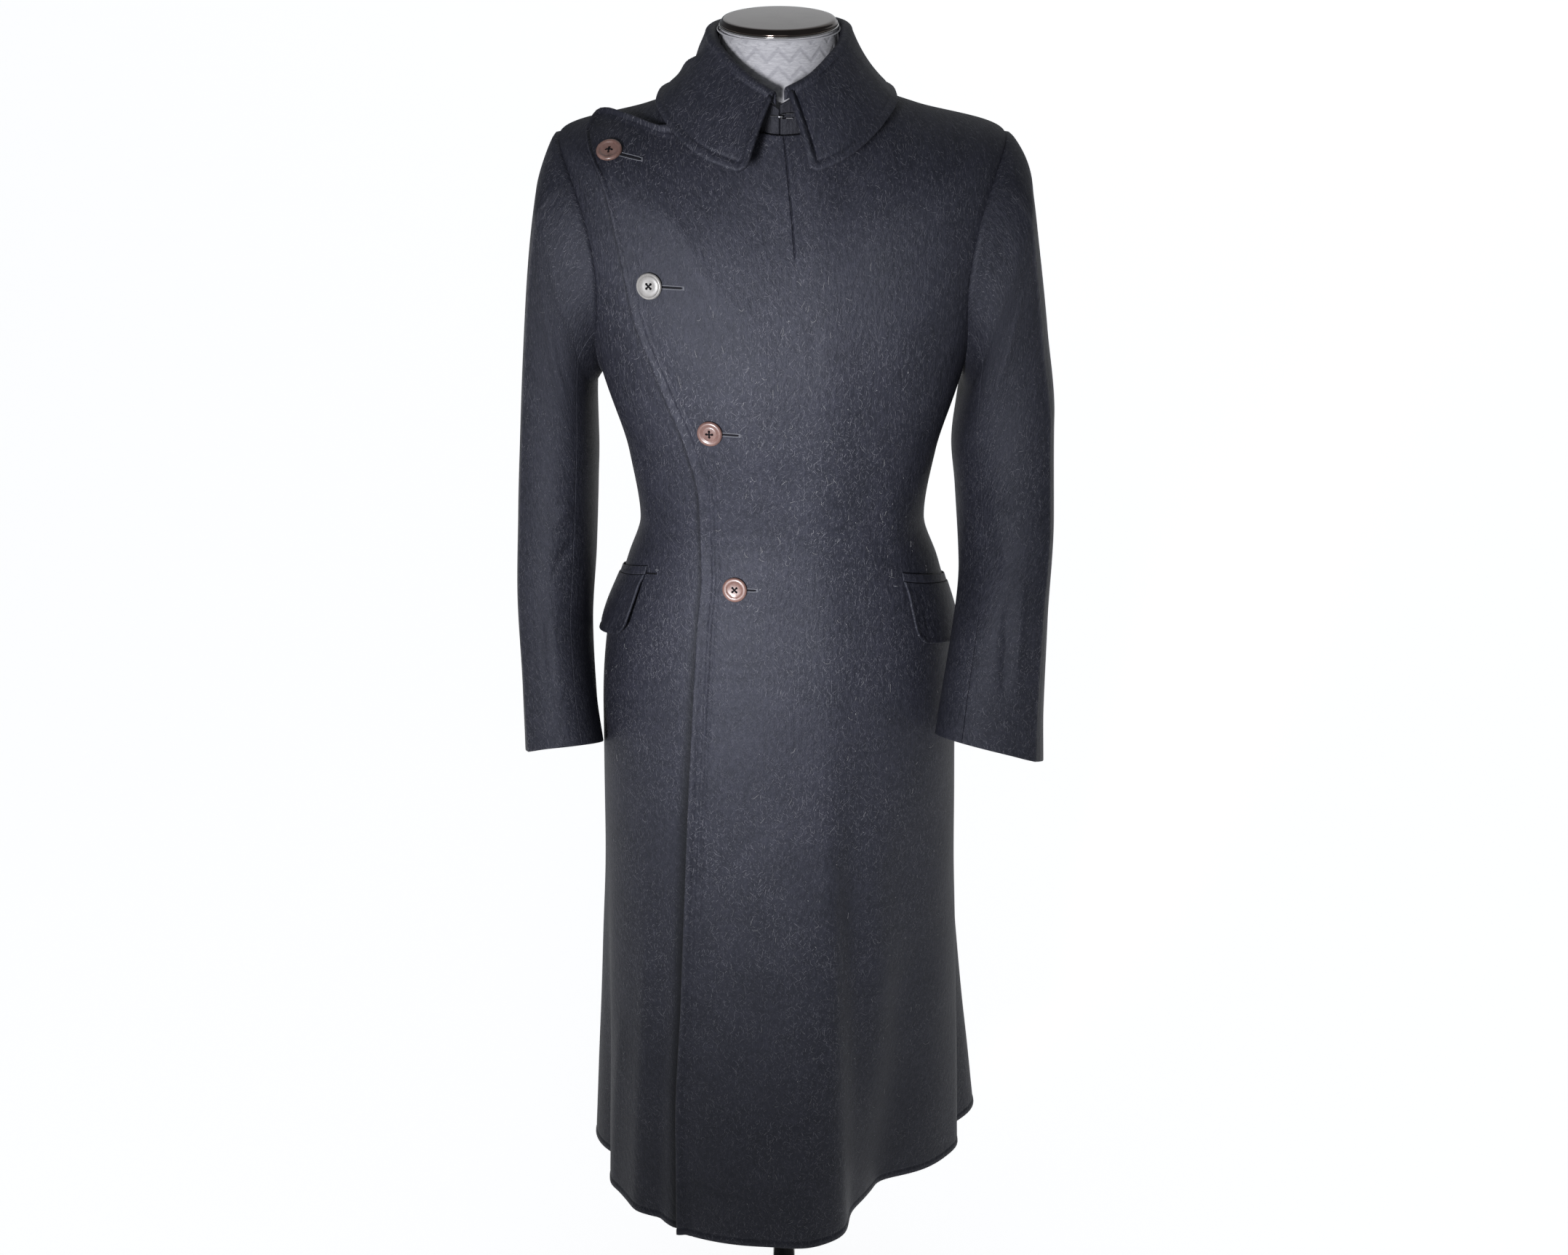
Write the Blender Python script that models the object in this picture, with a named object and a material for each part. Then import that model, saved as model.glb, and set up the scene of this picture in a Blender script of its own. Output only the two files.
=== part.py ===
"""Military greatcoat of heavy dark wool, buttoned slantwise, on a limbless dress form with a stand.

Metres, +Z up. The coat faces -Y, so the wearer's left is at +X. The origin is the centre of the
stand's underside, on the floor. The tables are in millimetres, and their heights are measured up
from the coat's hem. Angles run round the body in degrees: 0 is the centre front, 90 the wearer's
left side, -90 the right side and 180 the centre back.
"""

import math
from collections import namedtuple

import bmesh
import bpy
import numpy as np
from mathutils import Vector

MM = 0.001

# Driving dimensions, in metres.
HEM_HEIGHT = 0.330  # from the floor to the hem
WOOL = 0.0028  # one wall of the coat: heavy melton
COLLAR_CLOTH = 0.0040  # the collar's fall, two layers and canvas
STAND_CLOTH = 0.0026  # the collar's stand
FLAP_CLOTH = 0.0026
WELT_CLOTH = 0.0016
SEAM = 0.0003  # clearance between pieces that touch
BUTTON_RADIUS = 0.0125

# The coat's body, from the neck seam down to the hem. left and right are the half widths on the
# wearer's left and right, front and back the depths from the middle, and square the exponent of
# the section's superellipse. The tape is the distance down the front from the neck seam.
Level = namedtuple("Level", "name left right front back z_side z_front z_back square")
BODY = [
    Level("neck seam", 73, 77, 80, 62, 1243, 1205, 1266, 2.0),
    Level("mid shoulder", 130, 134, 104, 88, 1226, 1150, 1208, 2.1),
    Level("shoulder tip", 215, 218, 127, 115, 1199, 1075, 1140, 2.3),
    Level("upper armhole", 220, 223, 136, 124, 1141, 1020, 1085, 2.4),
    Level("mid armhole", 200, 205, 140, 127, 1054, 967, 1012, 2.4),
    Level("armpit", 178, 182, 138, 120, 966, 926, 944, 2.4),
    Level("ribs", 156, 159, 131, 106, 888, 874, 878, 2.4),
    Level("waist", 145, 149, 125, 96, 812, 812, 812, 2.3),
    Level("hip bone", 163, 166, 129, 116, 756, 756, 756, 2.2),
    Level("upper hip", 180, 188, 138, 138, 690, 690, 690, 2.2),
    Level("seat", 186, 197, 149, 155, 590, 590, 590, 2.2),
    Level("thigh", 191, 200, 160, 171, 450, 450, 450, 2.2),
    Level("knee", 199, 208, 172, 190, 290, 290, 290, 2.2),
    Level("calf", 206, 216, 184, 206, 130, 130, 130, 2.2),
    Level("hem", 210, 222, 192, 216, 0, 0, 0, 2.2),
]
SHOULDER_ROUND = 1.6  # exponent of the fall from the shoulder line to the front and back

# Folds that open towards the hem: depth is out (+) or in (-) at the hem, width the half width in
# degrees, and top the height where the fold dies out.
Fold = namedtuple("Fold", "name angle width depth top")
FOLDS = [
    Fold("front roll", 8, 9, 5, 560),
    Fold("swing of the left front", 50, 23, -74, 640),
    Fold("left side ridge", 86, 6, 6, 400),
    Fold("left side valley", 95, 5, -14, 420),
    Fold("left back flare", 108, 11, 36, 440),
    Fold("left back valley", 132, 9, -13, 480),
    Fold("back flare at the left", 156, 10, 14, 560),
    Fold("centre back valley", 178, 9, -13, 520),
    Fold("back flare at the right", -158, 10, 17, 560),
    Fold("right back valley", -138, 9, -16, 500),
    Fold("right back flare", -117, 10, 16, 520),
    Fold("right side ridge", -93, 6, 8, 420),
    Fold("right side valley", -78, 6, -20, 460),
    Fold("right front ridge", -62, 8, -2, 520),
    Fold("right front valley", -44, 6, -5, 600),
]
FOLD_GROWTH = 1.4  # exponent of the folds' growth down to the hem

# The armhole cuts into the front and the back panels, by these angles.
ARMHOLE_FRONT, ARMHOLE_BACK = 27.0, 27.0
ARMHOLE_ROUND = 0.5
SIDE_SEAM_BACK = 20.0  # how far behind 90 degrees the side seam runs, from the waist down

# The left front laps over the right front. Its free edge, from the neck seam out to the corner at
# the right shoulder and then down to the hem: across is the distance from the centre, + to the left.
Edge = namedtuple("Edge", "name tape across")
LAP_EDGE = [
    Edge("neck", 0, -60),
    Edge("under the collar", 32, -90),
    Edge("collar edge", 60, -116),
    Edge("shoulder", 77, -148),
    Edge("before the corner", 88, -168),
    Edge("corner's top", 98, -181),
    Edge("shoulder corner", 109, -188),
    Edge("corner's side", 119, -184),
    Edge("below the corner", 137, -169),
    Edge("upper chest", 177, -155),
    Edge("chest", 227, -140),
    Edge("lower chest", 262, -118),
    Edge("ribs", 302, -95),
    Edge("above the waist", 358, -82),
    Edge("below the waist", 433, -81),
    Edge("hip", 488, -86),
    Edge("seat", 580, -92),
    Edge("thigh", 730, -100),
    Edge("knee", 905, -108),
    Edge("calf", 1085, -117),
    Edge("hem", 1218, -118),
]
LAP_CORNER = 0.109  # the tape distance of the lap's corner
LAP_STEP = (14.0, 34.0)  # the left front steps out over the right front between these angles
LAP_GAP = 0.0006  # between the two fronts
FRONT_COLUMNS, LAPPED_COLUMNS, BACK_COLUMNS = 16, 5, 9  # strips across a panel

# Sleeve sections, down the sleeve from the armhole. Each passes through its outer and inner point
# and its front and back. pitch is how far its front lies above its back.
Cuff = namedtuple("Cuff", "name down outer inner z_outer z_inner front back pitch")
LEFT_SLEEVE = [
    Cuff("head", 20, 233, 189, 1186, 958, -90, 86, 0),
    Cuff("cap", 60, 242, 186, 1156, 946, -92, 86, 0),
    Cuff("upper arm", 120, 252, 181, 1098, 922, -91, 82, 4),
    Cuff("bicep", 200, 265, 177, 1012, 886, -90, 76, 10),
    Cuff("above the elbow", 280, 275, 181, 925, 842, -99, 58, 18),
    Cuff("elbow", 370, 275, 184, 825, 772, -128, 10, 28),
    Cuff("forearm", 460, 269, 174, 725, 704, -155, -44, 34),
    Cuff("lower forearm", 550, 268, 165, 635, 648, -167, -62, 36),
    Cuff("cuff", 606, 270, 159, 576, 606, -172, -74, 36),
]
RIGHT_SLEEVE = [
    Cuff("head", 20, 234, 190, 1186, 962, -90, 86, 0),
    Cuff("cap", 60, 241, 195, 1156, 950, -92, 86, 0),
    Cuff("upper arm", 120, 251, 196, 1098, 924, -90, 82, 4),
    Cuff("bicep", 200, 261, 196, 1012, 886, -87, 78, 10),
    Cuff("above the elbow", 280, 269, 198, 925, 842, -86, 74, 16),
    Cuff("elbow", 370, 276, 202, 825, 772, -92, 66, 26),
    Cuff("forearm", 460, 280, 208, 725, 690, -102, 48, 38),
    Cuff("lower forearm", 550, 278, 205, 628, 616, -112, 22, 48),
    Cuff("cuff", 606, 278, 198, 557, 566, -118, 2, 52),
]
SLEEVE_SQUARE = 2.25
SLEEVE_SEAMS = (-75.0, 125.0)  # round the sleeve: at the back of the arm and inside its front
SLEEVE_GAP = 0.0006  # the sleeve's end lies on the panels' edge, clear of it by this much
CREASE_TURN, CREASE_WIDTH, CREASE_HEIGHT = 48.0, 15.0, 0.0045  # pressed ridge, outer front

# The collar's fall, round the neck from the right leaf's front edge to the left one's. Each row
# gives the top of the roll, the outer edge, and how far the cloth bulges out between them.
Turn = namedtuple("Turn", "name fold_x fold_y fold_z edge_x edge_y edge_z bulge")
COLLAR = [
    Turn("right front edge", -9, -88, 1245, -35, -134, 1177, 3),
    Turn("right leaf", -28, -79, 1256, -74, -120, 1190, 4),
    Turn("right front turn", -52, -58, 1274, -106, -84, 1212, 4),
    Turn("right side front", -67, -29, 1290, -122, -40, 1233, -3),
    Turn("right side", -70, 4, 1298, -120, 8, 1240, -6),
    Turn("right back", -56, 48, 1303, -93, 76, 1241, -2),
    Turn("centre back", -5, 71, 1304, -5, 104, 1238, 1),
    Turn("left back", 46, 48, 1304, 82, 76, 1241, -2),
    Turn("left side", 60, 4, 1300, 107, 8, 1240, -5),
    Turn("left side front", 57, -29, 1290, 108, -40, 1234, -2),
    Turn("left front turn", 43, -58, 1275, 90, -88, 1214, 3),
    Turn("left leaf", 23, -79, 1259, 57, -121, 1190, 4),
    Turn("left front edge", 2, -88, 1249, 24, -134, 1177, 3),
]
COLLAR_ROLL = 0.0042  # radius of the roll, to the middle of the cloth
COLLAR_LIP = 0.006  # how far the fall reaches down inside the roll
HOOK_ACROSS = -0.004  # where the stand's ends meet at the front, at a hook and eye
HOOK_WIRE = 0.001
HOOK_UP = 0.72  # the hook's place up the stand
# The wires' centre lines, from where the ends meet, in millimetres: to the left, up the stand, and
# out from its face. The hook comes from the right, passes under the eye's nose and turns back.
HOOK_LINE = [(-9, 0, 0.9), (-2, 0, 0.9), (2.6, 0, 0.9), (3.6, 0, 1.5), (3.8, 0, 2.5), (3.4, 0, 3.6)]
HOOK_LINE += [(2.4, 0, 4.1), (0.2, 0, 4.1), (-1.0, 0, 3.9)]
EYE_HALF_WIDTH, EYE_REACH, EYE_RISE = 2.2, 12.0, 2.5

# Pocket flaps at the hips, between two angles round the body.
FLAP_TAPE, FLAP_DROP, FLAP_CORNER = 0.451, 0.064, 0.016  # the tape is at the flap's front
FLAP_SLANT = 0.0009  # how much lower the pocket runs, for each degree towards the back
WELT_HEIGHT = 0.009
POCKET_GAP = 0.0010  # between a pocket piece and the panel under it
LEFT_FLAP = dict(start=52.5, end=103.0, flare=0.004)
RIGHT_FLAP = dict(start=-106.0, end=-63.0, flare=0.005)

# Four-hole buttons of four makes on the left front: rim is the share of the radius inside the rim,
# and dish how deep the middle lies.
Button = namedtuple("Button", "name tape across rim dish turn finish")
BUTTONS = [
    Button("button_1", 108, -164, 0.66, 1.3, 45, "brown"),
    Button("button_2", 194, -125, 0.80, 0.7, 0, "pale"),
    Button("button_3", 287, -70, 0.60, 0.9, 45, "brown"),
    Button("button_4", 446, -48, 0.62, 1.2, 45, "brown"),
]
BUTTON_THICKNESS = 0.0042
HOLE_RADIUS, HOLE_PLACE = 0.0011, 0.0023

# The dress form: clearance is how far its skin lies inside the coat, and the neck narrows to a cap
# that leans forward.
Skin = namedtuple("Skin", "name tape clearance")
FORM = [
    Skin("neck seam", 0, 6.0),
    Skin("collar edge", 28, 4.0),
    Skin("mid shoulder", 60, 0.6),
    Skin("shoulder tip", 128, 0.6),
    Skin("shoulder end", 150, 6.0),
    Skin("armhole", 200, 9.0),
    Skin("armpit", 298, 8.0),
    Skin("waist", 402, 6.0),
    Skin("hip bone", 458, 10.0),
    Skin("upper hip", 525, 19.0),
    Skin("torso end", 600, 34.0),
]
FORM_LOOSE = 0.004  # more room inside the left front, whose columns the form doesn't share
NECK_CENTRE = -0.005  # the neck stands a little to the wearer's right
NECK_HALF_WIDTH, NECK_FRONT, NECK_BACK = 0.0560, 0.0585, 0.0535
NECK_TOP = 1.3005  # height of the neck's middle above the hem
NECK_LEAN = math.radians(9)
CAP_HEIGHT = 0.008
POLE_RADIUS, BASE_RADIUS, BASE_THICKNESS = 0.014, 0.140, 0.012


def column(rows, name):
    """One named column of a table, as an array."""
    return np.array([getattr(row, name) for row in rows], float)


def tape_marks():
    """The tape distance of each level: the length of the front's profile down to it."""
    profile = np.stack([column(BODY, "front"), column(BODY, "z_front")], -1) * MM
    return np.concatenate([[0], np.cumsum(np.linalg.norm(np.diff(profile, axis=0), axis=1))])


def smooth(at, knots, values):
    """A smooth curve through a table's rows that never overshoots them (monotone cubic)."""
    knots, values = np.asarray(knots, float), np.asarray(values, float)
    step = np.diff(knots)
    rise = np.diff(values) / step
    product = rise[:-1] * rise[1:]
    total = np.where(product > 0, rise[:-1] + rise[1:], 1.0)
    slope = np.concatenate([rise[:1], np.where(product > 0, 2 * product / total, 0), rise[-1:]])
    at = np.clip(at, knots[0], knots[-1])
    i = np.clip(np.searchsorted(knots, at, side="right") - 1, 0, len(step) - 1)
    s, h = (at - knots[i]) / step[i], step[i]
    start = (1 + 2 * s) * (1 - s) ** 2 * values[i] + s * (1 - s) ** 2 * h * slope[i]
    end = s**2 * (3 - 2 * s) * values[i + 1] + s**2 * (s - 1) * h * slope[i + 1]
    return start + end


TAPE = tape_marks()
TIP, ARMPIT, WAIST, HEM = (TAPE[i] for i in (2, 5, 7, 14))


def ease(share):
    """0 to 1 with level ends."""
    share = np.clip(share, 0, 1)
    return share * share * (3 - 2 * share)


def folds(angle, height):
    """How far the folds push the skirt out at an angle and a height above the hem."""
    push = np.zeros(np.broadcast(angle, height).shape)
    for fold in FOLDS:
        turn = (angle - fold.angle + 180) % 360 - 180
        share = np.clip(1 - height / (fold.top * MM), 0, 1) ** FOLD_GROWTH
        push = push + fold.depth * MM * share * np.exp(-((turn / fold.width) ** 2))
    return push


def skin(angle, tape):
    """A point of the coat's inner face. Each section is a superellipse in polar form, with its own
    left, right, front and back; its height falls from the sides to the front and back."""
    angle, tape = np.broadcast_arrays(np.asarray(angle, float), np.asarray(tape, float))
    value = {c: smooth(tape, TAPE, column(BODY, c)) for c in Level._fields[1:]}
    turn = np.radians(angle)
    s, c = np.sin(turn), np.cos(turn)
    half = np.where(s > 0, value["left"], value["right"]) * MM
    deep = np.where(c > 0, value["front"], value["back"]) * MM
    n = value["square"]
    reach = (np.abs(s / half) ** n + np.abs(c / deep) ** n) ** (-1 / n)
    fall = np.where(c > 0, value["z_front"], value["z_back"]) - value["z_side"]
    height = (value["z_side"] + fall * np.abs(c) ** SHOULDER_ROUND) * MM
    reach = reach + folds(angle, height)
    return np.stack([reach * s, -reach * c, height + HEM_HEIGHT], -1)


def normals(grid):
    """Unit normals of a grid of points, from its rows and columns."""
    across = np.gradient(grid, axis=1)
    down = np.gradient(grid, axis=0)
    n = np.cross(across, down)
    return n / np.linalg.norm(n, axis=-1, keepdims=True)


def body(angle, tape, out=0.0):
    """A point on the coat's inner face, moved out along the face's normal."""
    step_angle, step_tape = 0.5, 0.002
    angle, tape, out = np.broadcast_arrays(*(np.asarray(v, float) for v in (angle, tape, out)))
    along = skin(angle + step_angle, tape) - skin(angle - step_angle, tape)
    low = np.clip(tape - step_tape, 0, HEM)
    high = np.clip(tape + step_tape, 0, HEM)
    down = skin(angle, high) - skin(angle, low)
    n = np.cross(down, along)
    n = n / np.linalg.norm(n, axis=-1, keepdims=True)
    return skin(angle, tape) + n * out[..., None]


def angle_at(across, tape):
    """The angle on the front where the section at a tape distance is that far from the centre."""
    angles = np.linspace(-89.5, 89.5, 359)
    across, tape = np.broadcast_arrays(np.asarray(across, float), np.asarray(tape, float))
    found = [
        np.interp(x, skin(angles, t)[:, 0], angles) for x, t in zip(across.ravel(), tape.ravel())
    ]
    return np.array(found).reshape(across.shape)


def armhole(tape, cut, grow=0.0):
    """How far the armhole cuts into a panel at a tape distance, in degrees."""
    share = np.clip((tape - TIP) / (ARMPIT - TIP), 0, 1)
    return (cut + grow) * np.sin(np.pi * share) ** ARMHOLE_ROUND


def side_seam(tape):
    """How far behind 90 degrees the side seam runs."""
    return SIDE_SEAM_BACK * ease((tape - ARMPIT) / (WAIST - ARMPIT))


def seam_angle(angle, tape):
    """The angle that half of a seam's clearance takes at a place on the body."""
    return math.degrees(1) * SEAM / 2 / np.linalg.norm(skin(angle, tape)[..., :2], axis=-1)


def front_bound(tape):
    """The front panels' outer edge: shoulder seam, armhole, then side seam, in degrees."""
    bound = 90 - armhole(tape, ARMHOLE_FRONT) + side_seam(tape)
    return bound - seam_angle(bound, tape)


def back_bound(tape):
    """The back panels' outer edge, in degrees."""
    bound = 90 + armhole(tape, ARMHOLE_BACK) + side_seam(tape)
    return bound + seam_angle(bound, tape)


def lap_edge(tape):
    """The angle of the left front's free edge. The corner at the shoulder stays sharp."""
    corner = next(i for i, e in enumerate(LAP_EDGE) if e.name == "shoulder corner")
    upper, lower = LAP_EDGE[: corner + 1], LAP_EDGE[corner:]
    across = np.where(
        tape < LAP_CORNER,
        smooth(tape, column(upper, "tape") * MM, column(upper, "across")),
        smooth(tape, column(lower, "tape") * MM, column(lower, "across")),
    )
    return angle_at(across * MM, tape)


def lap_lift(angle):
    """The left front lies on the body at its own side and over the right front past its edge."""
    low, high = LAP_STEP
    return (WOOL + LAP_GAP) * ease((high - angle) / (high - low))


def new_object(name, points, faces, material):
    """A mesh object from points and faces, with its faces pointing out."""
    mesh = bpy.data.meshes.new(name)
    mesh.from_pydata([tuple(p) for p in points], [], faces)
    work = bmesh.new()
    work.from_mesh(mesh)
    bmesh.ops.recalc_face_normals(work, faces=work.faces)
    work.to_mesh(mesh)
    work.free()
    mesh.shade_smooth()
    mesh.set_sharp_from_angle(angle=math.radians(40))
    mesh.materials.append(material)
    thing = bpy.data.objects.new(name, mesh)
    bpy.context.scene.collection.objects.link(thing)
    return thing


def wall(name, inner, outer, material, tube=False):
    """A closed wall between two grids of points, rows by columns. A tube's columns close up. Every
    square is split along the same diagonal, so that walls made on the same points stay parallel."""
    rows, cols = inner.shape[:2]
    points = np.concatenate([inner.reshape(-1, 3), outer.reshape(-1, 3)])
    other = rows * cols
    reach = cols if tube else cols - 1
    faces = []
    for i in range(rows - 1):
        for j in range(reach):
            k = (j + 1) % cols
            a, b, c, d = i * cols + j, i * cols + k, (i + 1) * cols + k, (i + 1) * cols + j
            faces += [(a, b, c), (a, c, d)]
            faces += [(other + c, other + b, other + a), (other + d, other + c, other + a)]
    for i in (0, rows - 1):
        for j in range(reach):
            a, b = i * cols + j, i * cols + (j + 1) % cols
            faces.append((a, b, other + b, other + a))
    if not tube:
        for j in (0, cols - 1):
            for i in range(rows - 1):
                a, b = i * cols + j, (i + 1) * cols + j
                faces.append((a, b, other + b, other + a))
    return new_object(name, points, faces, material)


def spread(*stops):
    """Row places: each stop is where a stretch ends and into how many rows it is divided."""
    places = [np.array([stops[0]])]
    for (end, count), start in zip(stops[1:], [stops[0]] + [s[0] for s in stops[1:-1]]):
        places.append(np.linspace(start, end, count + 1)[1:])
    return np.concatenate(places)


def between(start, end, strips):
    """Angles from a start to an end on each row, in even strips."""
    share = np.linspace(0, 1, strips + 1)
    return start[:, None] + (end - start)[:, None] * share


def left_front_angles(tapes):
    """The left front's columns, from its free edge to the side seam."""
    return between(lap_edge(tapes), front_bound(tapes), FRONT_COLUMNS)


def right_front_angles(tapes):
    """The right front's columns, from the side seam to the lap's edge, and then under the lap in
    step with the left front's own columns."""
    outer = between(-front_bound(tapes), lap_edge(tapes), 7)
    return np.concatenate([outer, left_front_angles(tapes)[:, 1 : LAPPED_COLUMNS + 1]], 1)


def back_angles(tapes):
    """The left back's columns, from the side seam to the centre seam."""
    centre = 180 - seam_angle(180.0 + 0 * tapes, tapes)
    return between(back_bound(tapes), centre, BACK_COLUMNS)


def body_rows():
    """The tape distances of the panels' rows: close at the lap's corner, the armhole's ends, and
    the waist."""
    upper = spread(0.0, (0.077, 3), (0.121, 4), (TIP, 2), (TIP + 0.005, 1), (TIP + 0.016, 1))
    upper = np.concatenate([upper, spread(TIP + 0.016, (ARMPIT - 0.014, 5))[1:]])
    lower = spread(ARMPIT, (WAIST, 4), (WAIST + 0.12, 4), (HEM, 8))
    return np.concatenate([upper, lower])


def panel(name, angle, tapes, material, lift=0.0):
    """One panel of the coat, through its rows' angles."""
    tape = np.repeat(tapes[:, None], angle.shape[1], 1)
    wall(name, body(angle, tape, lift), body(angle, tape, lift + WOOL), material)


def make_body(wool):
    """Two fronts and two backs. The backs meet in a centre seam."""
    tapes = body_rows()
    front = left_front_angles(tapes)
    panel("front_left", front, tapes, wool, lap_lift(front))
    panel("front_right", right_front_angles(tapes), tapes, wool)
    panel("back_left", back_angles(tapes), tapes, wool)
    panel("back_right", -back_angles(tapes)[:, ::-1], tapes, wool)


def armhole_loop(turn, side):
    """The line where a sleeve meets the body, on the panels' edge. turn runs from the shoulder (0)
    to the front (90), the armpit (180) and the back (270); side is 1 for the left and -1 for the
    right."""
    share = (1 - np.cos(np.radians(turn))) / 2
    tape = TIP + (ARMPIT - TIP) * share
    cut = np.where(np.sin(np.radians(turn)) > 0, -ARMHOLE_FRONT, ARMHOLE_BACK)
    angle = 90 + cut * np.abs(np.sin(np.pi * share)) ** ARMHOLE_ROUND
    return body(side * angle, tape, 1.5 * WOOL + SLEEVE_GAP)


def sleeve_grid(table, side, downs, turns):
    """The middle of a sleeve's cloth: sections from the table, eased into the armhole's line."""
    value = {c: smooth(downs, column(table, "down") * MM, column(table, c)) for c in Cuff._fields[2:]}
    value = {c: v * MM for c, v in value.items()}
    turn = np.radians(turns)
    c, s = np.cos(turn), np.sin(turn)
    reach = (np.abs(c) ** SLEEVE_SQUARE + np.abs(s) ** SLEEVE_SQUARE) ** (-1 / SLEEVE_SQUARE)
    ridge = np.exp(-(((turns - CREASE_TURN) / CREASE_WIDTH) ** 2)) * CREASE_HEIGHT
    middle = (value["outer"] + value["inner"]) / 2
    x = middle + (value["outer"] - value["inner"]) / 2 * reach * c + ridge * c
    y = (value["front"] + value["back"]) / 2 + (value["front"] - value["back"]) / 2 * reach * s
    y = y - ridge * s
    z = (value["z_outer"] + value["z_inner"]) / 2 + (value["z_outer"] - value["z_inner"]) / 2 * reach * c
    z = z + value["pitch"] / 2 * reach * s + HEM_HEIGHT
    plain = np.stack([side * x, y, z], -1)
    share = ease(downs / (table[1].down * MM))[..., None]
    return armhole_loop(turns % 360, side) * (1 - share) + plain * share


def sleeve_points(table, side, downs, turns, out):
    """Points of a sleeve's face, a distance out from the middle of its cloth."""
    downs, turns = np.meshgrid(downs, turns, indexing="ij")
    step_turn, step_down = 0.5, 0.001
    end = table[-1].down * MM
    around = sleeve_grid(table, side, downs, turns + step_turn)
    around = around - sleeve_grid(table, side, downs, turns - step_turn)
    along = sleeve_grid(table, side, np.clip(downs + step_down, 0, end), turns)
    along = along - sleeve_grid(table, side, np.clip(downs - step_down, 0, end), turns)
    n = np.cross(along, around) * side
    n = n / np.linalg.norm(n, axis=-1, keepdims=True)
    return sleeve_grid(table, side, downs, turns) + n * out


def make_sleeve(name, table, side, wool):
    """A two-piece sleeve: the upper sleeve round the outside and front, the under sleeve behind.
    Its columns start at the panels' own rows on the armhole."""
    end = table[-1].down * MM
    downs = spread(0.0, (0.06, 4), (end, 12))
    rows = body_rows()
    rows = rows[(rows > TIP - 1e-6) & (rows < ARMPIT + 1e-6)]
    fronts = np.degrees(np.arccos(np.clip(1 - 2 * (rows - TIP) / (ARMPIT - TIP), -1, 1)))
    half_gap = math.degrees(SEAM / 2 / 0.075)
    seams = SLEEVE_SEAMS
    around = np.unique(np.round(np.concatenate([-fronts[1:], fronts, 360 - fronts[1:]]), 6))
    for half, (first, last) in {"upper": seams, "under": (seams[1], seams[0] + 360)}.items():
        inner = around[(around > first + 4) & (around < last - 4)]
        turns = np.concatenate([[first + half_gap], inner, [last - half_gap]])
        low = sleeve_points(table, side, downs, turns, -WOOL / 2)
        high = sleeve_points(table, side, downs, turns, WOOL / 2)
        wall(f"{half}_sleeve_{name}", low, high, wool)


def collar_rows(count):
    """The collar's table read at evenly spaced places round the neck."""
    knots = np.arange(len(COLLAR))
    at = np.linspace(0, len(COLLAR) - 1, count)
    value = {c: smooth(at, knots, column(COLLAR, c)) * MM for c in Turn._fields[1:]}
    fold = np.stack([value["fold_x"], value["fold_y"], value["fold_z"] + HEM_HEIGHT], -1)
    edge = np.stack([value["edge_x"], value["edge_y"], value["edge_z"] + HEM_HEIGHT], -1)
    return fold, edge, value["bulge"]


def collar_outward(fold):
    """The level direction out from the neck at each place of the fold line."""
    along = np.gradient(fold, axis=0)
    out = np.stack([-along[:, 1], along[:, 0], 0 * along[:, 0]], -1)
    out = out * np.sign(np.sum(out * fold, -1, keepdims=True))
    return out / np.linalg.norm(out, axis=-1, keepdims=True)


def stand_lines():
    """The foot and the top of the collar's stand, whose ends meet at the front."""
    fold, edge, bulge = collar_rows(33)
    out = collar_outward(fold)
    up = np.array([0, 0, 1.0])
    top = fold - up * COLLAR_ROLL - out * COLLAR_ROLL - up * (COLLAR_LIP + 4 * SEAM)
    foot = skin(collar_angles(fold), 0.0) + up * (SEAM + 0.0012) - out * STAND_CLOTH / 2
    for end, way in ((0, -1), (-1, 1)):
        top[end] = (HOOK_ACROSS + way * SEAM / 2, top[end, 1], top[end, 2] - 0.003)
        foot[end, 0] = top[end, 0]
    return foot, top


def make_collar(wool, black):
    """The fall rolls over from a short lip inside the neck and lies down on the shoulders. The
    stand rises inside it from the neck seam."""
    fold, edge, bulge = collar_rows(33)
    out = collar_outward(fold)
    up = np.array([0, 0, 1.0])
    centre = fold - up * COLLAR_ROLL
    columns = [centre - out * COLLAR_ROLL - up * COLLAR_LIP]
    for turn in np.radians([180, 120, 60]):
        columns.append(centre + COLLAR_ROLL * (np.cos(turn) * out + np.sin(turn) * up))
    start = centre + COLLAR_ROLL * out
    for share in np.linspace(0, 1, 7):
        belly = 4 * share * (1 - share) * bulge[:, None]
        columns.append(start + (edge - start) * share + (out * 0.7 + up * 0.7) * belly)
    grid = np.stack(columns, 1)
    face = normals(grid)
    wall("collar_fall", grid - face * COLLAR_CLOTH / 2, grid + face * COLLAR_CLOTH / 2, wool)

    foot, top = stand_lines()
    share = np.linspace(0, 1, 4)[None, :, None]
    band = foot[:, None] * (1 - share) + top[:, None] * share
    side = normals(band)
    wall("collar_stand", band - side * STAND_CLOTH / 2, band + side * STAND_CLOTH / 2, black)


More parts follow.
